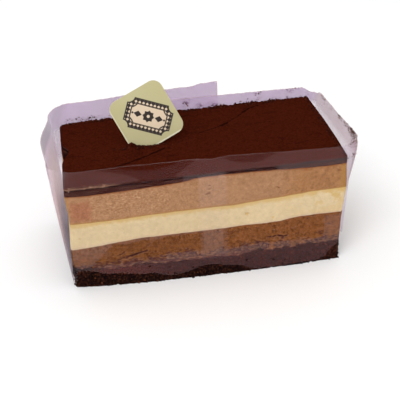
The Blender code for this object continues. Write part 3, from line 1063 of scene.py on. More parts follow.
# %% Milk mousse
def milk_finish():
    """Tan foam, coarser on the left, with browner stains near the ganache and on the right."""
    finish, skin, fine = mousse("milk mousse", MILK, MILK_LIGHT, MILK_BROWN, 0.40, 1.1)
    front = on_front(finish)
    rise = finish.attribute("rise")
    edge = finish.noise(finish.place, 1.6, 5.0, 3.0) - 0.5
    # The foam is coarser on the left, with pale strokes that the knife has drawn out.
    foam = finish.patch(-45, -15, 31.5, 41.0, 4.0, 8 * edge) * front
    slanted = finish.vector("MULTIPLY", finish.place, (1.0, 1.0, 2.2))
    froth = finish.noise(slanted, 0.75, 4.0, 1.0)
    skin = finish.mix(foam * froth.step(0.55, 0.66) * 0.80, skin, MILK_LIGHT)
    skin = finish.mix(foam * froth.step(0.44, 0.33) * 0.65, skin, MILK_BROWN)
    pink = finish.patch(-50.6, -43.4, 30.6, 38.4, 1.0, 3 * edge)
    skin = finish.mix(pink * front * 0.85, skin, finish.shade(MILK_PINK, finish.mottle))
    stain = finish.noise(finish.place, 3.2, 6.0, 3.0)
    right = (finish.x + 8 * (stain - 0.5)).step(24, 36)
    skin = finish.mix(right * 0.8, skin, finish.shade(MILK_RIGHT, 1.5 * finish.mottle - 0.5))
    near_top = 0.25 * right + 0.75 * rise.step(0.45, 1.0)
    skin = finish.mix(stain.step(0.47, 0.66) * near_top * (0.35 + 0.5 * right), skin, MILK_BROWN)
    yellow = finish.x.step(50.2, 51.6) + finish.x.step(-50.9, -51.6)
    skin = finish.mix(yellow * front * 0.7, skin, MILK_EDGE)
    rim = (rise + 0.10 * edge).step(0.935, 0.99)
    skin = finish.mix(rim * 0.8, skin, MILK_RIM)
    foot = (rise + 0.06 * edge).step(0.08, 0.02)
    skin = finish.mix(foot * 0.6, skin, MILK_EDGE)
    return close_mousse(finish, skin, fine, "milk_mousse")


mousse_finishes = {"milk_mousse": milk_finish()}
print("finishes:", *mousse_finishes)


# %% White mousse
def white_finish():
    """Smooth cream with an ochre line at its top and a few stains, most of them on the right."""
    finish, skin, fine = mousse("white mousse", WHITE, WHITE_PALE, WHITE_OCHRE, 0.16, 0.35)
    rise = finish.attribute("rise")
    ragged = finish.noise(finish.place, 1.7, 5.0, 3.0)
    rim = (rise + 0.34 * (ragged - 0.5)).step(0.78, 0.97)
    skin = finish.mix(rim * 0.85, skin, WHITE_OCHRE)
    stain = finish.noise(finish.place, 3.6, 8.0, 3.0)
    right = finish.x.step(26, 42)
    upper = 0.25 + 0.75 * rise.step(0.25, 0.8)
    skin = finish.mix(stain.step(0.47, 0.58) * (0.08 + 0.77 * right * upper), skin, WHITE_OCHRE)
    drops = finish.cells(finish.place, 5.0, 8.0)
    picked = finish.parts(drops.other("Color"))[0].step(0.62, 0.66)
    skin = finish.mix(drops.step(0.16, 0.09) * picked * 0.7, skin, WHITE_OCHRE)
    skin = finish.mix(finish.x.step(0, 16) * 0.45, skin, finish.shade(skin, 1.10))
    foot = (rise + 0.20 * (ragged - 0.5)).step(0.10, -0.02)
    skin = finish.mix(foot * 0.5, skin, WHITE_FOOT)
    return close_mousse(finish, skin, fine, "white_mousse")


mousse_finishes["white_mousse"] = white_finish()
print("finishes:", *mousse_finishes)


# %% Dark mousse
def dark_finish():
    """Brown foam that is streaked with crumb near the sponge and paler at the upper left."""
    finish, skin, fine = mousse("dark mousse", DARK, DARK_LIGHT, DARK_DEEP, 0.45, 2.8)
    rise = finish.attribute("rise")
    streak_place = finish.vector("MULTIPLY", finish.place, (0.7, 0.7, 1.5))
    skin = finish.mix(finish.x.step(2, 12) * 0.7, skin, finish.shade(skin, 1.20))
    streak = finish.noise(streak_place, 1.3, 9.0, 4.0, 0.65)
    drift = finish.noise(finish.place, 5.0, 2.0, 1.0)
    low = (rise + 0.9 * (drift - 0.5)).step(0.50, 0.02)
    streaked = (streak + 0.32 * low).step(0.66, 0.76) * low.step(0.05, 0.4)
    skin = finish.mix(streaked * 0.9, skin, CRUMB_PURPLE)
    tan = finish.noise(streak_place, 0.85, 12.0, 3.0, 0.6)
    tanned = (tan + 0.10 * low).step(0.59, 0.70) * low.step(0.1, 0.5)
    skin = finish.mix(tanned * 0.7, skin, DARK_LIGHT)
    left = finish.x.step(-36, -41) * rise.step(0.30, 0.55)
    pale = finish.noise(finish.place, 0.9, 14.0, 3.0)
    skin = finish.mix(left * (0.10 + 0.7 * pale.step(0.50, 0.66)), skin, DARK_PALE)
    skin = finish.mix(left * pale.step(0.44, 0.32) * 0.7, skin, CRUMB_PURPLE)
    return close_mousse(finish, skin, fine, "dark_mousse")


mousse_finishes["dark_mousse"] = dark_finish()
print("finishes:", *mousse_finishes)

# %% [markdown]
# ## Sponge
#
# Sponge is an open crumb, almost black, with a redder brown where a crumb is torn and light gets
# into it. Its roughness comes from the mesh; the finish varies the colour by crumb and paints shade
# into its pits and cracks.

# %% Sponge finish
SPONGE = (0.0050, 0.0018, 0.0016)
SPONGE_WARM = (0.046, 0.0140, 0.0078)
SPONGE_TORN = (0.140, 0.034, 0.012)
SPONGE_PIT_SHADE = (0.006, 0.002, 0.0015)


def sponge_finish():
    """Almost black crumb, with warmer grains, a few torn ones and painted shade in its pits."""
    finish = Finish("sponge", Roughness=0.9, Specular_IOR_Level=0.03)
    crumb = finish.cells(finish.place, 0.85, 2.0)
    pick = finish.parts(crumb.other("Color"))[1]
    slow = finish.noise(finish.place, 4.0, 4.0, 2.0)
    fine = finish.noise(finish.place, 0.7, 6.0, 3.0, 0.6)
    skin = finish.mix(fine.step(0.44, 0.66), SPONGE, SPONGE_WARM)
    torn = (pick + 0.5 * (slow - 0.5)).step(0.70, 0.84) * (crumb + 1.2 * (fine - 0.5)).step(0.58, 0.30)
    skin = finish.mix(torn * fine.step(0.42, 0.58) * 0.7, skin, SPONGE_TORN)
    skin = finish.shade(skin, 1 + 0.8 * finish.x.step(40, 50))
    # Painted shade in the pits and cracks, by how deep they go.
    skin = finish.mix(finish.attribute("depth").step(0.1, 0.5) * 0.8, skin, SPONGE_PIT_SHADE)
    normal = finish.bump(fine - crumb, 0.30)
    return finish.wear(Base_Color=skin, Normal=normal)


SPONGE_FINISH = sponge_finish()
print("sponge finish:", len(SPONGE_FINISH.node_tree.nodes), "nodes")

# %% [markdown]
# ## Ganache under cocoa
#
# Cocoa powder takes almost all light and has no gloss at all, so the shader's specular level is
# nearly nothing. From above it is a deep red brown, with painted shade in the creases. At the cut
# side there is no powder: there the ganache is smoother, with dark streaks, and the knife has left a
# tan crust along its left rim.

# %% Cocoa finish
COCOA = (0.0360, 0.0052, 0.0018)
COCOA_LIGHT = (0.0580, 0.0090, 0.0037)
COCOA_DEEP = (0.0230, 0.0034, 0.0018)
COCOA_CREASE_SHADE = (0.0100, 0.0020, 0.0013)
GANACHE_SIDE = (0.0420, 0.0110, 0.0065)
GANACHE_SMEAR = (0.0700, 0.0250, 0.0170)
GANACHE_DARK = (0.0150, 0.0050, 0.0045)
GANACHE_RIDGE = (0.3000, 0.1700, 0.1050)


def cocoa_finish():
    """Cocoa powder on what faces up, ganache on what faces sideways."""
    finish = Finish("cocoa", Roughness=0.9, Specular_IOR_Level=0.0)
    powder = finish.noise(finish.place, 0.7, 1.0, 4.0, 0.7)
    drawn = finish.vector("MULTIPLY", finish.place, (0.35, 1.0, 1.0))
    drift = finish.noise(drawn, 2.6, 3.0, 3.0)
    skin = finish.mix(powder.step(0.36, 0.62), COCOA, COCOA_LIGHT)
    skin = finish.mix((drift + 0.5 * (powder - 0.5)).step(0.46, 0.26) * 0.55, skin, COCOA_DEEP)
    # Painted shade in the creases and pits of the powder, by how deep they go.
    skin = finish.mix(finish.attribute("depth").step(0.03, 0.20) * 0.85, skin, COCOA_CREASE_SHADE)
    # The worn left rim is darker where it slopes down below the top.
    worn = finish.z.step(44.75, 44.35) * finish.x.step(-46.0, -47.5)
    skin = finish.mix(worn * 0.9, skin, GANACHE_DARK)
    up = finish.parts(finish.node("ShaderNodeNewGeometry").other("Normal"))[2]
    side = up.step(0.55, 0.25)

    # The cut side: smooth dark ganache with a darker line under the powder.
    ragged = finish.noise(finish.place, 1.3, 7.0, 3.0) - 0.5
    flow = finish.noise(finish.vector("MULTIPLY", finish.place, (0.3, 0.3, 1.6)), 1.7, 5.0, 3.0)
    cut = finish.mix(flow.step(0.42, 0.62), GANACHE_SIDE, GANACHE_SMEAR)
    height = finish.z + 0.5 * ragged
    broken = flow.step(0.38, 0.50).high(finish.x.step(-28, -34))
    line = height.step(43.2, 43.4) * height.step(44.3, 44.0) * broken
    cut = finish.mix(line * 0.95, cut, GANACHE_DARK)
    streaks = finish.noise(finish.vector("MULTIPLY", finish.place, (0.25, 0.25, 1.8)), 1.0, 15.0, 2.0)
    cut = finish.mix(streaks.step(0.56, 0.62) * finish.x.step(-8, 4) * 0.9, cut, GANACHE_DARK)
    crest = finish.z + 0.8 * ragged + 0.7 * (finish.noise(finish.place, 0.5, 9.0, 2.0) - 0.5)
    ridge = crest.step(43.95, 44.10) * crest.step(44.55, 44.40) * on_front(finish)
    cut = finish.mix(ridge * finish.x.step(-30, -38) * 0.9, cut, GANACHE_RIDGE)
    skin = finish.mix(side, skin, cut)
    return finish.wear(Base_Color=skin, Normal=finish.bump(powder, 0.16))


COCOA_FINISH = cocoa_finish()
print("cocoa finish:", len(COCOA_FINISH.node_tree.nodes), "nodes")

# %% [markdown]
# ## Cut the five layers
#
# Now the tree runs on each block with that layer's sizes, in millimetres. Mousse has a fine grain
# and a few open bubbles, sponge a coarse one, and the dusted top a soft, powdery one.

# %% Run the tree on each layer
RELIEF = {  # grain size and depth, swell size and depth, bubble size, depth and share of open ones
    "sponge_base": (1.3, 0.50, 3.0, 0.45, 1.6, 0.80, 0.45),
    "dark_mousse": (1.1, 0.14, 6.0, 0.12, 1.2, 0.40, 0.10),
    "white_mousse": (1.2, 0.06, 8.0, 0.10, 1.3, 0.30, 0.012),
    "milk_mousse": (0.9, 0.09, 7.0, 0.10, 1.2, 0.32, 0.05),
    "ganache": (1.0, 0.10, 7.0, 0.12, 1.2, 0.10, 0.05),
}
FINISHES = {
    "sponge_base": (SPONGE_FINISH, "sponge"),
    "ganache": (COCOA_FINISH, "cocoa"),
    **mousse_finishes,
}
EDGE_ANGLE = math.radians(50)


def cut_layer(seed, name):
    """Runs the tree on one block, and puts the piece in its solid's stead."""
    finish, slot = FINISHES[name]
    sizes = dict(zip(RELIEF_SIZES, RELIEF[name]))
    piece = CUT_FACE.run(blocks[name], **sizes, Seed=float(seed), Finish=finish)
    piece.data.shade_smooth()
    piece.data.set_sharp_from_angle(angle=EDGE_ANGLE)
    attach(piece, "root")
    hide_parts(name)
    return piece


layers = {name: cut_layer(seed, name) for seed, name in enumerate(LAYER_NAMES)}
print("layers cut:", {name: len(piece.data.polygons) for name, piece in layers.items()})

# %% [markdown]
# ## The film strip
#
# The film is one strip that starts at the back, goes round the left end, the front and the right
# end, and laps over itself. It leans out above the cake and hugs the front. Its lower edge is torn
# in waves. We lay the strip as a grid that follows the same rules as the frame's, only finer, with
# faint ripples, and give it its thickness with Solidify.
#
# The strip has nine runs, corners included, and each of its points keeps its place along them as a
# number. From 0 to 1 is the back, from the strip's outer end to the left; then come the back left
# corner, the left end, the front left corner, the front, which is 4 to 5, the front right corner,
# the right end and the back right corner; from 8 to 9 is the back again, which ends under the lap.

# %% Rules of the strip
RUNS = 9
FILM_THICKNESS = 0.2 * MM
FILM_CLEARANCE = 0.45 * MM  # from the cake's side
FILM_FLARE_LEFT = 3.7 * MM  # how far each side leans out at the top edge
FILM_FLARE_RIGHT = 4.2 * MM
FILM_FLARE_BACK = 2.3 * MM
FILM_BOW_LEFT = 2.5 * MM  # and how far each end's middle is bowed out past that
FILM_BOW_RIGHT = -0.2 * MM
FILM_SPLAY_LEFT = 0.7 * MM  # how far each end's front is wider than its middle at the top
FILM_SPLAY_RIGHT = 0.9 * MM
# The right end hugs the cake for half its height: the share of its flare at each level.
FILM_LEAN_LEVELS = (0.0, 0.3, 0.58, 0.78, 0.9, 1.0)
FILM_LEAN_RIGHT = (-0.20, -0.01, 0.17, 0.62, 0.91, 1.0)
FILM_CORNER_FOOT = 1.8 * MM
# Radii at the top of the corners back left, front left, front right and back right.
FILM_CORNERS_TOP = (9.5 * MM, 8.0 * MM, 10.5 * MM, 6.0 * MM)
FILM_LAP = 0.8 * MM  # how far the outer end stands off the inner one
FILM_OUTER_END = 14.6 * MM  # where the strip starts, on the outside, at the back
FILM_INNER_END = -7.0 * MM  # where it stops, on the inside
FILM_LAP_FADE = (-14 * MM, -38 * MM)  # where the outer run comes back to the inner one's line
FILM_END_RUN = 65 * MM  # rough length of the first and the last run
FILM_ROWS = 52
# Cells along each run of the strip, and along each corner.
FILM_CELLS = {"back_left": 70, "corner": 12, "left": 50, "front": 120, "right": 50, "back_right": 62}
# The strip's lower and upper edges: (place, height in mm).
FILM_LOWER_EDGE = (
    (0.0, 5.5), (1.0, 3.5), (3.2, 2.2), (3.75, 3.0), (4.03, 8.6), (4.12, 5.8), (4.26, 4.0),
    (4.36, 2.2), (4.50, 4.6), (4.58, 3.6), (4.68, 0.8), (4.90, 0.8), (4.945, 1.8), (4.98, 6.4),
    (5.05, 12.0), (5.5, 14.0), (6.5, 8.0), (8.0, 2.0), (9.0, 1.5),
)
FILM_UPPER_EDGE = (
    (0.0, 55.6), (0.12, 55.3), (0.18, 54.4), (1.0, 52.6), (2.5, 51.6), (3.9, 51.9),
    (4.06, 51.4), (4.22, 51.7), (4.36, 51.3), (4.43, 51.5), (4.51, 50.8), (4.60, 51.3),
    (4.70, 50.8), (4.81, 50.2), (5.0, 49.7), (6.9, 49.4), (7.25, 47.8), (7.6, 47.6),
    (8.06, 49.5), (9.0, 49.6),
)
FILM_RIPPLE = 0.18 * MM
FILM_RIPPLE_START = 20 * MM  # height where the ripples begin
FILM_RIPPLE_RISE = 30 * MM  # over which they grow
FILM_TEAR = 0.22 * MM  # how far the edges wander
FILM_TEARS = (45, 110)  # lumps of that wander in each run, coarse and fine


def edge_height(edge, place):
    """Height of one of the strip's edges at a place along it, eased from point to point."""
    for (start, low), (end, high) in zip(edge, edge[1:]):
        if place <= end:
            return blend(low, high, smooth((place - start) / (end - start))) * MM
    return edge[-1][1] * MM


print("height of the strip's outer end, mm:", round(edge_height(FILM_UPPER_EDGE, 0) / MM, 2))


# %% The strip's run in plan
def film_plan(level):
    """The strip's run in plan at a level from 0, its foot, to 1, its top: (place, x, y)."""
    lean = float(np.interp(level, FILM_LEAN_LEVELS, FILM_LEAN_RIGHT))
    left = -CAKE_LENGTH / 2 - FILM_CLEARANCE - FILM_FLARE_LEFT * level
    right = CAKE_LENGTH / 2 + WAIST_SWAY + FILM_CLEARANCE + FILM_FLARE_RIGHT * lean
    back_left, front_left, front_right, back_right = (
        blend(FILM_CORNER_FOOT, top, level**4) for top in FILM_CORNERS_TOP
    )
    splay = FILM_SPLAY_LEFT * level
    splay_right = FILM_SPLAY_RIGHT * lean
    points = []

    def run(start, end, cells, bow=0):
        order = round(points[-1][0]) if points else 0
        for i in range(1 if points else 0, cells + 1):
            part = i / cells
            x = blend(start[0], end[0], part) + bow * math.sin(math.pi * part) ** 2
            points.append((order + part, x, blend(start[1], end[1], part)))

    def corner(middle, radius, start_angle):
        order = round(points[-1][0])
        for i in range(1, FILM_CELLS["corner"] + 1):
            part = i / FILM_CELLS["corner"]
            angle = start_angle + part * math.pi / 2
            x = middle[0] + radius * math.cos(angle)
            points.append((order + part, x, middle[1] + radius * math.sin(angle)))

    def front(x):
        side = cake_front(x, level * CAKE_HEIGHT) - FILM_CLEARANCE
        return min(side, -CAKE_DEPTH / 2 - FILM_CLEARANCE)

    def back(x):
        side = cake_back(x, level * CAKE_HEIGHT) + FILM_CLEARANCE
        return max(side, CAKE_DEPTH / 2 + FILM_CLEARANCE + FILM_FLARE_BACK * level)

    turns = (
        (left + splay + back_left, back(left) - back_left),
        (left - splay + front_left, front(left) + front_left),
        (right + splay_right - front_right, front(right) + front_right),
        (right - splay_right - back_right, back(right) - back_right),
    )
    run((FILM_OUTER_END, back(0)), (turns[0][0], back(left)), FILM_CELLS["back_left"])
    corner(turns[0], back_left, math.pi / 2)
    bow_left = -FILM_BOW_LEFT * level
    bow_right = FILM_BOW_RIGHT * lean
    run((left + splay, turns[0][1]), (left - splay, turns[1][1]), FILM_CELLS["left"], bow_left)
    corner(turns[1], front_left, math.pi)
    run((turns[1][0], front(left)), (turns[2][0], front(right)), FILM_CELLS["front"])
    corner(turns[2], front_right, -math.pi / 2)
    start, end = (right + splay_right, turns[2][1]), (right - splay_right, turns[3][1])
    run(start, end, FILM_CELLS["right"], bow_right)
    corner(turns[3], back_right, 0)
    run((turns[3][0], back(right)), (FILM_INNER_END, back(0)), FILM_CELLS["back_right"])
    return points


print("points along the strip:", len(film_plan(0)))


# %% Lay the strip
def torn_edge(places, seed):
    """A small ragged wander of an edge, for each place along the strip."""
    coarse, fine = FILM_TEARS
    wander = field(places * coarse, 0 * places, seed)
    wander = wander + 0.6 * field(places * fine, 0 * places, seed + 10)
    return dict(zip(places, (FILM_TEAR * wander).tolist()))


def film_points():
    """Every point of the strip, row by row: its place, where it is, and how far from an edge."""
    places, points, to_edge = [], [], []
    stations = np.array([place for place, _, _ in film_plan(0)])
    tear_low, tear_high = torn_edge(stations, 83), torn_edge(stations, 84)
    for row in range(FILM_ROWS + 1):
        level = row / FILM_ROWS
        for place, x, y in film_plan(level):
            low = edge_height(FILM_LOWER_EDGE, place) + tear_low[place]
            high = edge_height(FILM_UPPER_EDGE, place) + 0.5 * tear_high[place]
            z = blend(low, high, level)
            # Along the front and the back the strip keeps clear of the cake at every height.
            if 4 <= place <= 5:
                y = min(y, cake_front(x, min(z, CAKE_HEIGHT)) - FILM_CLEARANCE)
            elif place <= 1 or place >= 8:
                y = max(y, cake_back(x, min(z, CAKE_HEIGHT)) + FILM_CLEARANCE)
            if place < 1:
                fade = (x - FILM_LAP_FADE[1]) / (FILM_LAP_FADE[0] - FILM_LAP_FADE[1])
                y += FILM_LAP * smooth(fade)
            places.append(place)
            points.append((x, y, z))
            to_edge.append(min(z - low, high - z))
    return np.array(places), np.array(points, float), np.array(to_edge)


def film_strip():
    """The strip as a mesh with ripples and thickness, and what its finish reads at its points."""
    place, points, to_edge = film_points()
    columns = len(points) // (FILM_ROWS + 1)
    lower = np.arange(columns * FILM_ROWS)
    lower = lower[lower % columns != columns - 1]
    faces = np.stack((lower, lower + 1, lower + 1 + columns, lower + columns), axis=-1).tolist()
    mesh = bpy.data.meshes.new("film")
    mesh.from_pydata(points.tolist(), [], faces)
    normals = np.zeros(len(points) * 3, np.float32)
    mesh.vertices.foreach_get("normal", normals)
    height = points[:, 2]
    above = np.clip((height - FILM_RIPPLE_START) / FILM_RIPPLE_RISE, 0, 1)
    ripple = field(place * 5, height / (9 * MM), 81)
    ripple = ripple + 0.5 * field(place * 13, height / (5 * MM), 82)
    points += normals.reshape(-1, 3) * (FILM_RIPPLE * above * ripple)[:, None]
    mesh.vertices.foreach_set("co", points.astype(np.float32).ravel())
    ends = np.minimum(place, RUNS - place) * FILM_END_RUN
    store(mesh, "place", place)
    store(mesh, "to_edge", np.minimum(to_edge, ends) / MM)
    made = new_object("film_strip", mesh)
    wall = made.modifiers.new("thickness", "SOLIDIFY")
    wall.thickness = FILM_THICKNESS
    wall.offset = 0
    made = flatten(made)
    made.data.shade_smooth()
    made.data.set_sharp_from_angle(angle=EDGE_ANGLE)
    return made


film = film_strip()
print("film faces:", len(film.data.polygons))

# %% [markdown]
# ## The look of the film
#
# Clear film shows by what it does to the light behind it. Where it clings to moist mousse it is
# invisible; where a breath of air is between them it veils the colours; where it stands free above
# the cake and at the ends it has a lavender haze. At the flat ends it is also thicker to the eye
# when seen along its surface: the share that passes is raised to one over the cosine of the angle.
#
# The shader mixes a see-through one with a hazy one. The Layer Weight node gives the angle.

# %% Colours and shares of the haze
HAZE_FRONT = (0.720, 0.370, 0.360)
HAZE_CAKE = (1.000, 0.800, 0.780)
HAZE_SPONGE = (0.950, 0.460, 0.460)
HAZE_SPONGE_LEFT = (1.000, 0.240, 0.180)
HAZE_BACK = (0.545, 0.350, 0.600)
HAZE_LEFT = (0.800, 0.570, 0.740)
# Painted shade: low on the left end the haze is dark, for the shaded end of the cake behind it.
HAZE_LEFT_LOW_SHADE = (0.230, 0.095, 0.135)
HAZE_CORNER = (0.850, 0.720, 0.740)
HAZE_RIGHT = (0.500, 0.320, 0.360)
HAZE_RIGHT_LOW = (0.450, 0.300, 0.320)
FILM_TINT = (0.97, 0.95, 0.975)
FILM_GLINT = (0.80, 0.62, 0.60)
# The haze's colour place by place along the strip, high up and low down.
HAZE_UPPER = (
    (0, HAZE_BACK),
    (1.6, HAZE_BACK),
    (2.5, HAZE_LEFT),
    (3.0, HAZE_LEFT),
    (3.2, HAZE_CORNER),
    (4.0, HAZE_CORNER),
    (5.1, HAZE_RIGHT),
    (7.0, HAZE_RIGHT),
    (7.6, HAZE_BACK),
)
HAZE_LOWER = ((3.0, HAZE_LEFT_LOW_SHADE), (3.2, HAZE_CORNER), (4.0, HAZE_CORNER), (5.1, HAZE_RIGHT_LOW))
# Share of light that the film holds back below the cake's top, place by place.
HELD_LOW = (
    (0.93, 0.02), (1.02, 0.60), (1.90, 0.60), (2.05, 0.19), (2.95, 0.19), (3.10, 0.22),
    (3.45, 0.22), (3.62, 0.04), (3.99, 0.00), (5.38, 0.00), (5.55, 0.35), (5.90, 0.35),
    (6.05, 0.19), (6.95, 0.19), (7.10, 0.26), (8.00, 0.26), (8.07, 0.02),
)
# And above it.
HELD_HIGH = (
    (0.0, 0.70), (3.00, 0.70), (3.15, 0.30), (3.45, 0.30), (3.62, 0.10), (4.0, 0.07),
    (5.12, 0.07), (5.18, 0.00), (5.38, 0.00), (5.6, 0.50), (6.0, 0.60), (7.6, 0.70),
)


def along(finish, place, stops):
    """A grey or colour that changes from place to place along the strip."""
    return finish.ramp(place / RUNS, *((stop / RUNS, value) for stop, value in stops))


def at_run(place, middle, outer=0.62, inner=0.50):
    """1 on the run of the strip whose middle is given, 0 on the others."""
    return abs(place - middle).step(outer, inner)


print("stops of the haze:", len(HELD_LOW), "low and", len(HELD_HIGH), "high")

# %% The film in front of the cake
TOP_LINE = (44.7, 45.2)  # heights between which the cut face gives way to the dusted top, in mm
CLINGING = (  # patches, in mm: left, right, low, high, soft border, share of the wobble; how closely
    (-17.3, -2.2, 11.5, 19.6, 0.35, 0.25, 1.0),
    (5.2, 45.0, 11.0, 20.6, 0.35, 0.40, 1.0),
    (-21.0, -4.2, 30.0, 43.0, 0.40, 0.20, 0.5),
)


def front_veil(finish, wobble):
    """What is held back in front of the cut face: next to nothing where the film clings to it."""
    x, z = finish.x, finish.z
    slanted = x + 36.0 - (z - 19.5) + wobble * 0.3
    cling = finish.patch(-46.0, -17.0, 9.5, 19.0, 0.5, wobble) * slanted.step(-0.6, 0.6)
    for left, right, low, high, soft, ragged, closely in CLINGING:
        cling = cling.high(finish.patch(left, right, low, high, soft, wobble * ragged) * closely)
    band = finish.patch(-3.6, 6.9, 7.0, 44.0, 0.5, wobble * 0.12)
    lilac = finish.patch(-9.0, 6.0, 41.0, 47.0, 1.0, wobble * 0.3)
    lilac = lilac.high(finish.patch(26.0, 56.0, 41.0, 47.0, 1.0, wobble * 0.3))
    low_part = (z + wobble * 0.1).step(20.6, 20.0)
    veil = 0.002 + (1 - cling) * (0.006 + 0.030 * low_part)
    veil = veil + band * (0.024 + 0.020 * z.step(30.4, 31.2)) + 0.040 * lilac * z.step(42.0, 43.0)
    over_sponge = (z + wobble * 0.1).step(8.6, 7.6)
    return veil + (0.012 + 0.036 * x.step(-12, -32)) * over_sponge


def top_margin(finish, drift, wobble):
    """In front of the dusted top: two hazy sheets with a clearer one between, and a clear wedge."""
    x, z = finish.x, finish.z
    rise = ((z - 46) / 5).high(0)
    left_line = -25.5 - 14 * rise**1.3 + wobble * 0.2
    right_line = -11.5 + 7.5 * rise + wobble * 0.2
    clearer = (x - left_line).step(-0.3, 0.3) * (right_line - x).step(-0.3, 0.3)
    lens = (z - 47.3 - ((x - 16) / 9) ** 2 * 2.5 + wobble * 0.08).step(-0.2, 0.2)
    clearer = clearer.high(lens)
    wedge = (z - 51.0 + 2.1 * (1 - ((x + 21) / 11) ** 2) + wobble * 0.05).step(-0.2, 0.2)
    return (0.074 - 0.044 * clearer) * (0.85 + 0.3 * drift) * (1 - 0.95 * wedge)


print("patches where the film clings:", len(CLINGING) + 1)

# %% The film at the ends and the back
MOST_SLANT = 0.16  # least cosine of the angle of view that is counted


def ends_haze(finish, place, drift):
    """What is held back away from the front: hazy all the way down at the ends, and high up."""
    z = finish.z
    # On the flat end walls it is more where the film is seen along its surface.
    facing = finish.node("ShaderNodeLayerWeight").other("Facing")
    flat = at_run(place, 2.5).high(at_run(place, 6.5))
    slant = 1 + flat * (1 / (1 - facing).high(MOST_SLANT) - 1)
    right_foot = 1 - 0.93 * place.step(4.9, 5.1) * z.step(36.0, 26.0)
    back_corner_foot = 1 - 0.65 * at_run(place, 1.5, 0.60, 0.45) * z.step(31.0, 23.0)
    held = along(finish, place, HELD_LOW) * (0.85 + 0.3 * drift) * right_foot * back_corner_foot
    low = 1 - (1 - held) ** slant
    # Where the strip laps over itself, the inner layer already holds its share.
    lap = place.step(0.34, 0.31) * z.step(49.25, 48.95)
    high = along(finish, place, HELD_HIGH) * (0.94 + 0.12 * drift) * (1 - 0.72 * lap)
    above = z.step(41.0, 44.5).high(at_run(place, 2.5) * z.step(36.0, 43.0))
    return low + (high - low) * above


def film_colour(finish, place, front, drift, wobble):
    """The haze's colour, which over the sponge and the cocoa takes on some of theirs; low on the left end
    it is painted shade.
    """
    x, z = finish.x, finish.z
    colour = finish.mix(z.step(18, 35), along(finish, place, HAZE_LOWER), along(finish, place, HAZE_UPPER))
    colour = finish.shade(colour, 1 - 0.48 * at_run(place, 2.5) * z.step(43.5, 46.5))
    sponge_colour = finish.mix(x.step(-12, -32) * 0.6, HAZE_SPONGE, HAZE_SPONGE_LEFT)
    cake_colour = finish.mix((z + wobble * 0.1).step(9.2, 7.6), HAZE_CAKE, sponge_colour)
    front_colour = finish.mix(z.step(*TOP_LINE), cake_colour, HAZE_FRONT)
    colour = finish.mix(front, colour, front_colour)
    return finish.shade(colour, 0.93 + 0.14 * drift)


print("end walls are seen at most", 1 / MOST_SLANT, "times as thick")


# %% Film finish
def film_finish():
    """Clear film: see-through, with as much haze as is held back at each place."""
    finish = Finish("clear film", Roughness=0.35, Specular_IOR_Level=0.3)
    place = finish.attribute("place")
    front = place.step(3.90, 4.02) * place.step(5.10, 4.98)
    drift = finish.noise(finish.place, 9.0, 1.0, 2.0)
    fine = finish.noise(finish.place, 2.2, 2.0, 3.0)
    wobble = (drift - 0.5) * 5 + (fine - 0.5) * 1.2
    veil = front_veil(finish, wobble)
    margin = top_margin(finish, drift, wobble)
    shown = (veil + (margin - veil) * finish.z.step(*TOP_LINE)) * front
    total = ends_haze(finish, place, drift) * (1 - front) + shown

    # Light crosses two walls, and the cut edges catch it.
    rim = finish.attribute("to_edge").step(0.30, 0.12)
    rim_strength = 0.09 - 0.04 * front - 0.02 * front * finish.z.step(30.0, 20.0)
    opacity = (1 - (1 - total.low(0.95)) ** 0.5).high(rim * rim_strength)
    colour = film_colour(finish, place, front, drift, wobble)
    finish.wear(Base_Color=finish.mix(rim * 0.7, colour, FILM_GLINT))

    clear = finish.node("ShaderNodeBsdfTransparent", None, {"Color": FILM_TINT})
    haze_shader = Wire(finish, finish.shader.outputs[0])
    body = finish.node("ShaderNodeMixShader", None, {0: opacity, 1: clear, 2: haze_shader})
    gloss = finish.node("ShaderNodeBsdfAnisotropic", None, {"Roughness": 0.12})
    shine = finish.node("ShaderNodeLayerWeight").other("Fresnel") * 0.003
    whole = finish.node("ShaderNodeMixShader", None, {0: shine, 1: body, 2: gloss})
    finish.feed(finish.nodes["Material Output"].inputs["Surface"], whole)
    return finish.material


CLEAR_FILM = film_finish()
film.data.materials.append(CLEAR_FILM)
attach(film, "root")
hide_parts("film_collar")
print("film finish:", len(CLEAR_FILM.node_tree.nodes), "nodes")

# %% [markdown]
# ## The card tag
#
# The tag is thick card with rounded corners, die-cut, so its front edge is slightly rolled over and
# its cut edge is paler. It is a stack of the same outline: one for each step of the rolled edge.
# Each point keeps its place on the card, in millimetres, so that the print can be drawn with sums
# wherever the card leans.

# %% Tag shape
TAG_SIDE = 22.8 * MM
TAG_CORNER = 3.8 * MM
TAG_THICKNESS = 0.6 * MM
TAG_MIDDLE = Vector((-18.1, 5.05, 54.4)) * MM
TAG_LEAN = math.radians(31)
TAG_TURN = math.radians(-3.8)
TAG_SPIN = math.radians(-26.3)
TAG_ROLL = 0.13 * MM  # radius of the rolled edge
TAG_ROLL_STEPS = 4
TAG_CORNER_STEPS = 12


def tag_outline(inset):
    """The card's outline, drawn in by a distance, anticlockwise."""
    half = TAG_SIDE / 2 - inset
    radius = TAG_CORNER - inset
    points = []
    for quarter, (right, up) in enumerate(((1, 1), (-1, 1), (-1, -1), (1, -1))):
        for i in range(TAG_CORNER_STEPS + 1):
            angle = (quarter + i / TAG_CORNER_STEPS) * math.pi / 2
            x = right * (half - radius) + radius * math.cos(angle)
            points.append((x, up * (half - radius) + radius * math.sin(angle)))
    return points


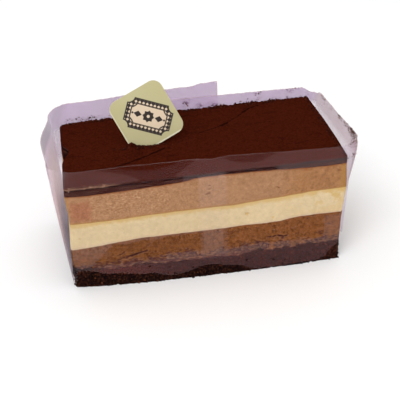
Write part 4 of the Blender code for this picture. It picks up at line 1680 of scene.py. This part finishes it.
def card_tag():
    """The card as a stack of outlines, laid flat, then turned and put in its place."""
    half = TAG_THICKNESS / 2
    angles = [math.pi / 2 * i / TAG_ROLL_STEPS for i in range(TAG_ROLL_STEPS + 1)]
    rolled = [(TAG_ROLL * (1 - math.sin(a)), half - TAG_ROLL * (1 - math.cos(a))) for a in angles]
    stack = [(inset, -depth) for inset, depth in rolled]
    stack += [(inset, depth) for inset, depth in rolled[::-1]]
    bm = bmesh.new()
    rings = []
    flat = []
    for inset, depth in stack:
        ring = [bm.verts.new((x, depth, z)) for x, z in tag_outline(inset)]
        flat += [vert.co.copy() for vert in ring]
        rings.append(ring)
    for front, behind in zip(rings, rings[1:]):
        for i in range(len(front)):
            ahead = (i + 1) % len(front)
            bm.faces.new((front[i], front[ahead], behind[ahead], behind[i]))
    bm.faces.new(rings[0])
    bm.faces.new(rings[-1][::-1])
    bmesh.ops.recalc_face_normals(bm, faces=bm.faces)
    mesh = bpy.data.meshes.new("card_tag")
    bm.to_mesh(mesh)
    bm.free()
    flat = np.array(flat) / MM
    for name, values in zip(("card_x", "card_depth", "card_z"), flat.T):
        store(mesh, name, values)
    turn = Euler((0, 0, TAG_TURN)).to_matrix().to_4x4()
    lean = Euler((-TAG_LEAN, 0, 0)).to_matrix().to_4x4()
    spin = Euler((0, TAG_SPIN, 0)).to_matrix().to_4x4()
    mesh.transform(Matrix.Translation(TAG_MIDDLE) @ turn @ lean @ spin)
    mesh.shade_smooth()
    mesh.set_sharp_from_angle(angle=EDGE_ANGLE)
    return new_object("card_tag", mesh)


tag = card_tag()
print("tag faces:", len(tag.data.polygons))

# %% [markdown]
# ## The print on the tag
#
# The card is a pale olive and carries a small cream plaque with a dark ornamental border. Ours is a
# plain pattern of our own: a label with scooped corners, two thin lines with a row of lozenges
# between them, and an eight-pointed star between two small lozenges. A shape on flat paper is a
# distance: negative inside, positive outside. The border's lines are bands of that distance.

# %% Card finish
CARD = (0.482, 0.434, 0.238)
CARD_LIGHT = (0.516, 0.474, 0.282)
CARD_EDGE = (0.700, 0.660, 0.500)
PLAQUE_CREAM = (0.690, 0.548, 0.395)
PRINT_INK = (0.014, 0.011, 0.014)
PLAQUE_MIDDLE = (0.7, -0.2)  # on the card, in mm
PLAQUE_HALF = (9.2, 6.0)
PLAQUE_SCOOP = 2.4
LOZENGE = 1.5  # from one lozenge of the border to the next
CARD_RIM = (0.780, 0.740, 0.560)  # of the lower edges, which catch the light


def card_finish():
    """Pale olive card with its plaque. All measures are in mm on the card."""
    finish = Finish("card", Roughness=0.7, Specular_IOR_Level=0.06)
    card_x = finish.attribute("card_x") - PLAQUE_MIDDLE[0]
    card_z = finish.attribute("card_z") - PLAQUE_MIDDLE[1]
    # The plaque lies along the card's diagonal.
    across = (card_x - card_z) * math.sqrt(0.5)
    up = (card_x + card_z) * math.sqrt(0.5)
    half_x, half_z = abs(across), abs(up)
    corner = PLAQUE_SCOOP - finish.distance(half_x - PLAQUE_HALF[0], half_z - PLAQUE_HALF[1])
    away = (half_x - PLAQUE_HALF[0]).high(half_z - PLAQUE_HALF[1]).high(corner)
    soft = 0.08

    def band(low, high):
        return away.step(low - soft, low + soft) * away.step(high + soft, high - soft)

    lattice = abs((across / LOZENGE).frac() - 0.5) + abs((up / LOZENGE).frac() - 0.5)
    ornament = lattice.step(0.66, 0.56) * band(-1.90, -0.42)
    lines = band(-0.50, 0.02).high(band(-2.38, -1.90))
    lozenge = abs(half_x - 4.2) * 0.75 + half_z
    star = (half_x + half_z).step(2.45, 2.28).high(half_x.high(half_z).step(1.78, 1.64))
    heart = finish.distance(across, up).step(0.66, 0.54)
    middle = (star - heart).high(lozenge.step(1.30, 1.16))
    ink = ornament.high(lines).high(middle).high(finish.distance(half_x - 6.3, up).step(0.46, 0.34))

    fibre = finish.noise(finish.place, 0.5, 1.0, 3.0)
    slow = finish.noise(finish.place, 9.0, 2.0, 1.0)
    skin = finish.mix(slow.step(0.3, 0.7) * 0.5, CARD, CARD_LIGHT)
    skin = finish.mix(away.step(0.05, -0.05), skin, PLAQUE_CREAM)
    printed = finish.attribute("card_depth").step(-0.28, -0.29)
    skin = finish.mix(ink * printed * 0.96, finish.mix(printed, CARD, skin), PRINT_INK)
    half = TAG_SIDE / MM / 2
    low_edge = finish.attribute("card_z").step(0.70 - half, 0.45 - half)
    left_edge = finish.attribute("card_x").step(0.50 - half, 0.30 - half)
    skin = finish.mix(low_edge.high(left_edge * 0.7) * printed * 0.8, skin, CARD_RIM)
    cut_edge = abs(finish.attribute("card_depth")).step(0.26, 0.22)
    skin = finish.mix(cut_edge, skin, CARD_EDGE)
    skin = finish.shade(skin, 0.97 + 0.06 * fibre)
    return finish.wear(Base_Color=skin, Normal=finish.bump(fibre, 0.02))


CARD_FINISH = card_finish()
tag.data.materials.append(CARD_FINISH)
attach(tag, "root")
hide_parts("tag")
print("card finish:", len(CARD_FINISH.node_tree.nodes), "nodes")

# %% [markdown]
# ## Crumbs, clumps and flecks
#
# What is loose on the bar is scattered by one more tree. It drops points on a surface, more where
# the surface's weight is high, puts a small round lump on each, turns and squashes it, and pushes
# its points about with noise, so no two are alike. A tint is stored on each before they are made
# one mesh, so that each crumb has its own shade.

# %% The scatter tree
def scatter_tree():
    """A tree that drops crumbs on a surface by its weight, each turned, squashed and tinted."""
    sizes = ("Density", "Smallest", "Largest", "Flat", "Lift")
    tree = Shaper("scatter", **{name: float for name in sizes}, Seed=int, Finish=bpy.types.Material)
    seed = tree.input("Seed")
    density = tree.named("weight") * tree.input("Density")
    values = {"Mesh": tree.given, "Density": density, "Seed": seed}
    points = tree.node("GeometryNodeDistributePointsOnFaces", {"distribute_method": "RANDOM"}, values)

    def chance(shift):
        values = {2: 0.0, 3: 1.0, "Seed": tree.math("ADD", seed, shift)}
        return tree.node("FunctionNodeRandomValue", {"data_type": "FLOAT"}, values, out=1)

    size = (tree.input("Smallest") + (tree.input("Largest") - tree.input("Smallest")) * chance(1) ** 3) * MM
    lump = tree.node("GeometryNodeMeshUVSphere", None, {"Segments": 6, "Rings": 4, "Radius": 0.5})
    spin_values = {0: (0.0, 0.0, 0.0), 1: (0.5, 0.5, math.tau), "Seed": tree.math("ADD", seed, 2)}
    spin = tree.node("FunctionNodeRandomValue", {"data_type": "FLOAT_VECTOR"}, spin_values)
    turn = tree.node(
        "FunctionNodeRotateRotation",
        {"rotation_space": "LOCAL"},
        {0: points.other("Rotation"), 1: tree.node("FunctionNodeEulerToRotation", None, {0: spin})},
    )
    width = 0.7 + 0.6 * chance(3)
    depth = 0.6 + 0.5 * chance(4)
    height = tree.input("Flat") * (0.7 + 0.6 * chance(5))
    shape = tree.node("ShaderNodeCombineXYZ", None, {0: width, 1: depth, 2: height})
    values = {"Points": points, "Instance": lump, "Rotation": turn, "Scale": tree.scaled(shape, size)}
    crumbs = tree.node("GeometryNodeInstanceOnPoints", None, values)
    for name, value in (("tint", chance(6)), ("size", size)):
        settings = {"data_type": "FLOAT", "domain": "INSTANCE"}
        crumbs = tree.node(
            "GeometryNodeStoreNamedAttribute", settings, {"Geometry": crumbs, "Name": name, "Value": value}
        )
    lift = tree.scaled(points.other("Normal"), tree.input("Lift") * size)
    crumbs = tree.node(
        "GeometryNodeTranslateInstances",
        None,
        {"Instances": crumbs, "Translation": lift, "Local Space": False},
    )
    crumbs = tree.node("GeometryNodeRealizeInstances", None, {"Geometry": crumbs})
    jolt = tree.vector("SUBTRACT", tree.noise(tree.place, 0.35, 3.0, 1.0, out="Color"), (0.5, 0.5, 0.5))
    offset = tree.scaled(jolt, tree.named("size") * 0.9)
    crumbs = tree.node("GeometryNodeSetPosition", None, {"Geometry": crumbs, "Offset": offset})
    tree.end(crumbs)
    return tree


SCATTER = scatter_tree()
print("scatter tree:", len(SCATTER.nodes), "nodes")

# %% Crumb finishes
def crumb_finish(name, dark, light, share):
    """Crumbs from dark to light, by their own tint, of which only a share are light."""
    finish = Finish(name, Roughness=0.9, Specular_IOR_Level=0.05)
    grain = finish.noise(finish.place, 0.25, 1.0, 2.0)
    tint = (finish.attribute("tint") + 0.3 * (grain - 0.5)).step(1 - share, 1.0)
    return finish.wear(Base_Color=finish.mix(tint, dark, light), Normal=finish.bump(grain, 0.05))


SPONGE_CRUMB = crumb_finish("sponge crumb", (0.011, 0.004, 0.003), (0.110, 0.032, 0.012), 0.22)
COCOA_CRUMB = crumb_finish("cocoa clump", (0.030, 0.0055, 0.003), (0.085, 0.017, 0.007), 0.6)
FLECK = crumb_finish("cocoa fleck", (0.065, 0.025, 0.016), (0.240, 0.120, 0.075), 0.6)
TAN_CRUMB = crumb_finish("ganache crumb", (0.150, 0.070, 0.035), (0.400, 0.240, 0.140), 0.8)
print("crumb finishes:", SPONGE_CRUMB.name, COCOA_CRUMB.name, FLECK.name, TAN_CRUMB.name)

# %% [markdown]
# The surface that crumbs fall on is a copy of a finished piece with a weight at each point. The
# sponge sheds most near its foot, the cocoa lies in clumps along the back edge, and the film has
# caught flecks where it was folded over the cake. The places in these sums are in millimetres.

# %% Scatter over a piece
LOWEST_CRUMB = 0.02 * MM  # above what the bar stands on


def places(made):
    """The places of a piece's points, a row for each."""
    points = np.zeros(len(made.data.vertices) * 3, np.float32)
    made.data.vertices.foreach_get("co", points)
    return points.reshape(-1, 3)


def stored(made, name):
    """A number kept at each of a piece's points."""
    values = np.zeros(len(made.data.vertices), np.float32)
    made.data.attributes[name].data.foreach_get("value", values)
    return values


def near(value, middle, reach):
    """1 at the middle, and less and less away from it."""
    return np.exp(-(((value - middle) / reach) ** 2))


def scattered(name, source, weight, slot, finish, **sizes):
    """Crumbs over a piece, by a weight worked out from the place of each of its points."""
    ground = new_object(name, source.data.copy())
    store(ground.data, "weight", weight)
    piece = SCATTER.run(ground, Finish=finish, **sizes)
    points = places(piece)
    points[:, 2] = np.maximum(points[:, 2], LOWEST_CRUMB)
    piece.data.vertices.foreach_set("co", points.ravel())
    piece.data.update()
    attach(piece, "root")
    print(name, len(piece.data.polygons), "faces")
    return piece


print("crumbs lie no lower than", LOWEST_CRUMB / MM, "mm")

# %% Sponge crumbs
x, y, z = places(layers["sponge_base"]).T / MM
ways_out = np.array([way.vector for way in layers["sponge_base"].data.attributes["outward"].data])
wall = np.linalg.norm(ways_out, axis=1)
weight = wall * (0.35 + 0.65 * near(z, 1.0, 3.0)) * (z < 7.5)
sizes = {"Density": 1.5e6, "Smallest": 0.25, "Largest": 1.1, "Flat": 0.8, "Lift": 0.15}
scattered("sponge_crumbs", layers["sponge_base"], weight, "sponge", SPONGE_CRUMB, **sizes, Seed=3)

# %% Cocoa clumps
x, y, z = places(layers["ganache"]).T / MM
ragged = np.clip(0.5 + field(x / 2.2, y / 2.2, 91), 0, 1)
back_edge = near(y - 0.025 * x, 26.3, 0.55) * ragged
tag_foot = near(np.hypot((x + 20.0) / 7.0, (y + 1.9) / 0.8), 0.0, 1.0)
weight = (z > 44.2) * (back_edge + 0.6 * tag_foot + 0.25 * near(x, 52.2, 0.4))
sizes = {"Density": 2.4e7, "Smallest": 0.15, "Largest": 0.9, "Flat": 0.8, "Lift": 0.15}
scattered("cocoa_clumps", layers["ganache"], weight, "cocoa", COCOA_CRUMB, **sizes, Seed=5)

# %% Ganache crumbs on the front left rim
front_left = near(y, -26.6, 0.7) * smooth((-33 - x) / 4) * near(z, 44.3, 0.4)
weight = front_left * np.clip(0.7 + 0.8 * field(x / 1.5, y * 0, 93), 0, 1)
sizes = {"Density": 2.6e7, "Smallest": 0.18, "Largest": 0.65, "Flat": 0.8, "Lift": 0.1}
scattered("ganache_crumbs", layers["ganache"], weight, "cocoa", TAN_CRUMB, **sizes, Seed=7)

# %% Flecks on the film
x, y, z = places(film).T / MM
place = stored(film, "place")
edge = stored(film, "to_edge")
patchy = np.clip(field(x / 3 + y / 3, z / 2, 95) + 0.25, 0, 1)
back_low = ((place < 1) | (place > 8)) * near(z, 45.0, 0.7) * patchy
right_edge = (place > 6.0) * (place < 8.2) * near(edge, 0.6, 1.0) * patchy * (z > 45)
cluster = near(np.hypot((y + 14.2) / 3.2, (z - 48.6) / 1.6), 0, 1) * (x > 50)
cluster += 0.6 * near(np.hypot((y + 19.0) / 3.6, (z - 44.4) / 3.2), 0, 1) * (x > 52.5) * patchy
smears = near(np.hypot(x - 0.8, (z - 47.6) / 1.4), 0, 1) + near(np.hypot(x - 31.9, z - 48.2), 0, 1.3)
weight = 0.55 * back_low + 0.35 * right_edge + 1.1 * cluster + 0.35 * smears * (y > 20)
sizes = {"Density": 1.3e7, "Smallest": 0.10, "Largest": 0.80, "Flat": 0.3, "Lift": 0.0}
scattered("film_flecks", film, weight, "cocoa", FLECK, **sizes, Seed=9)

# %% [markdown]
# must not change the size, and hands the scene over.
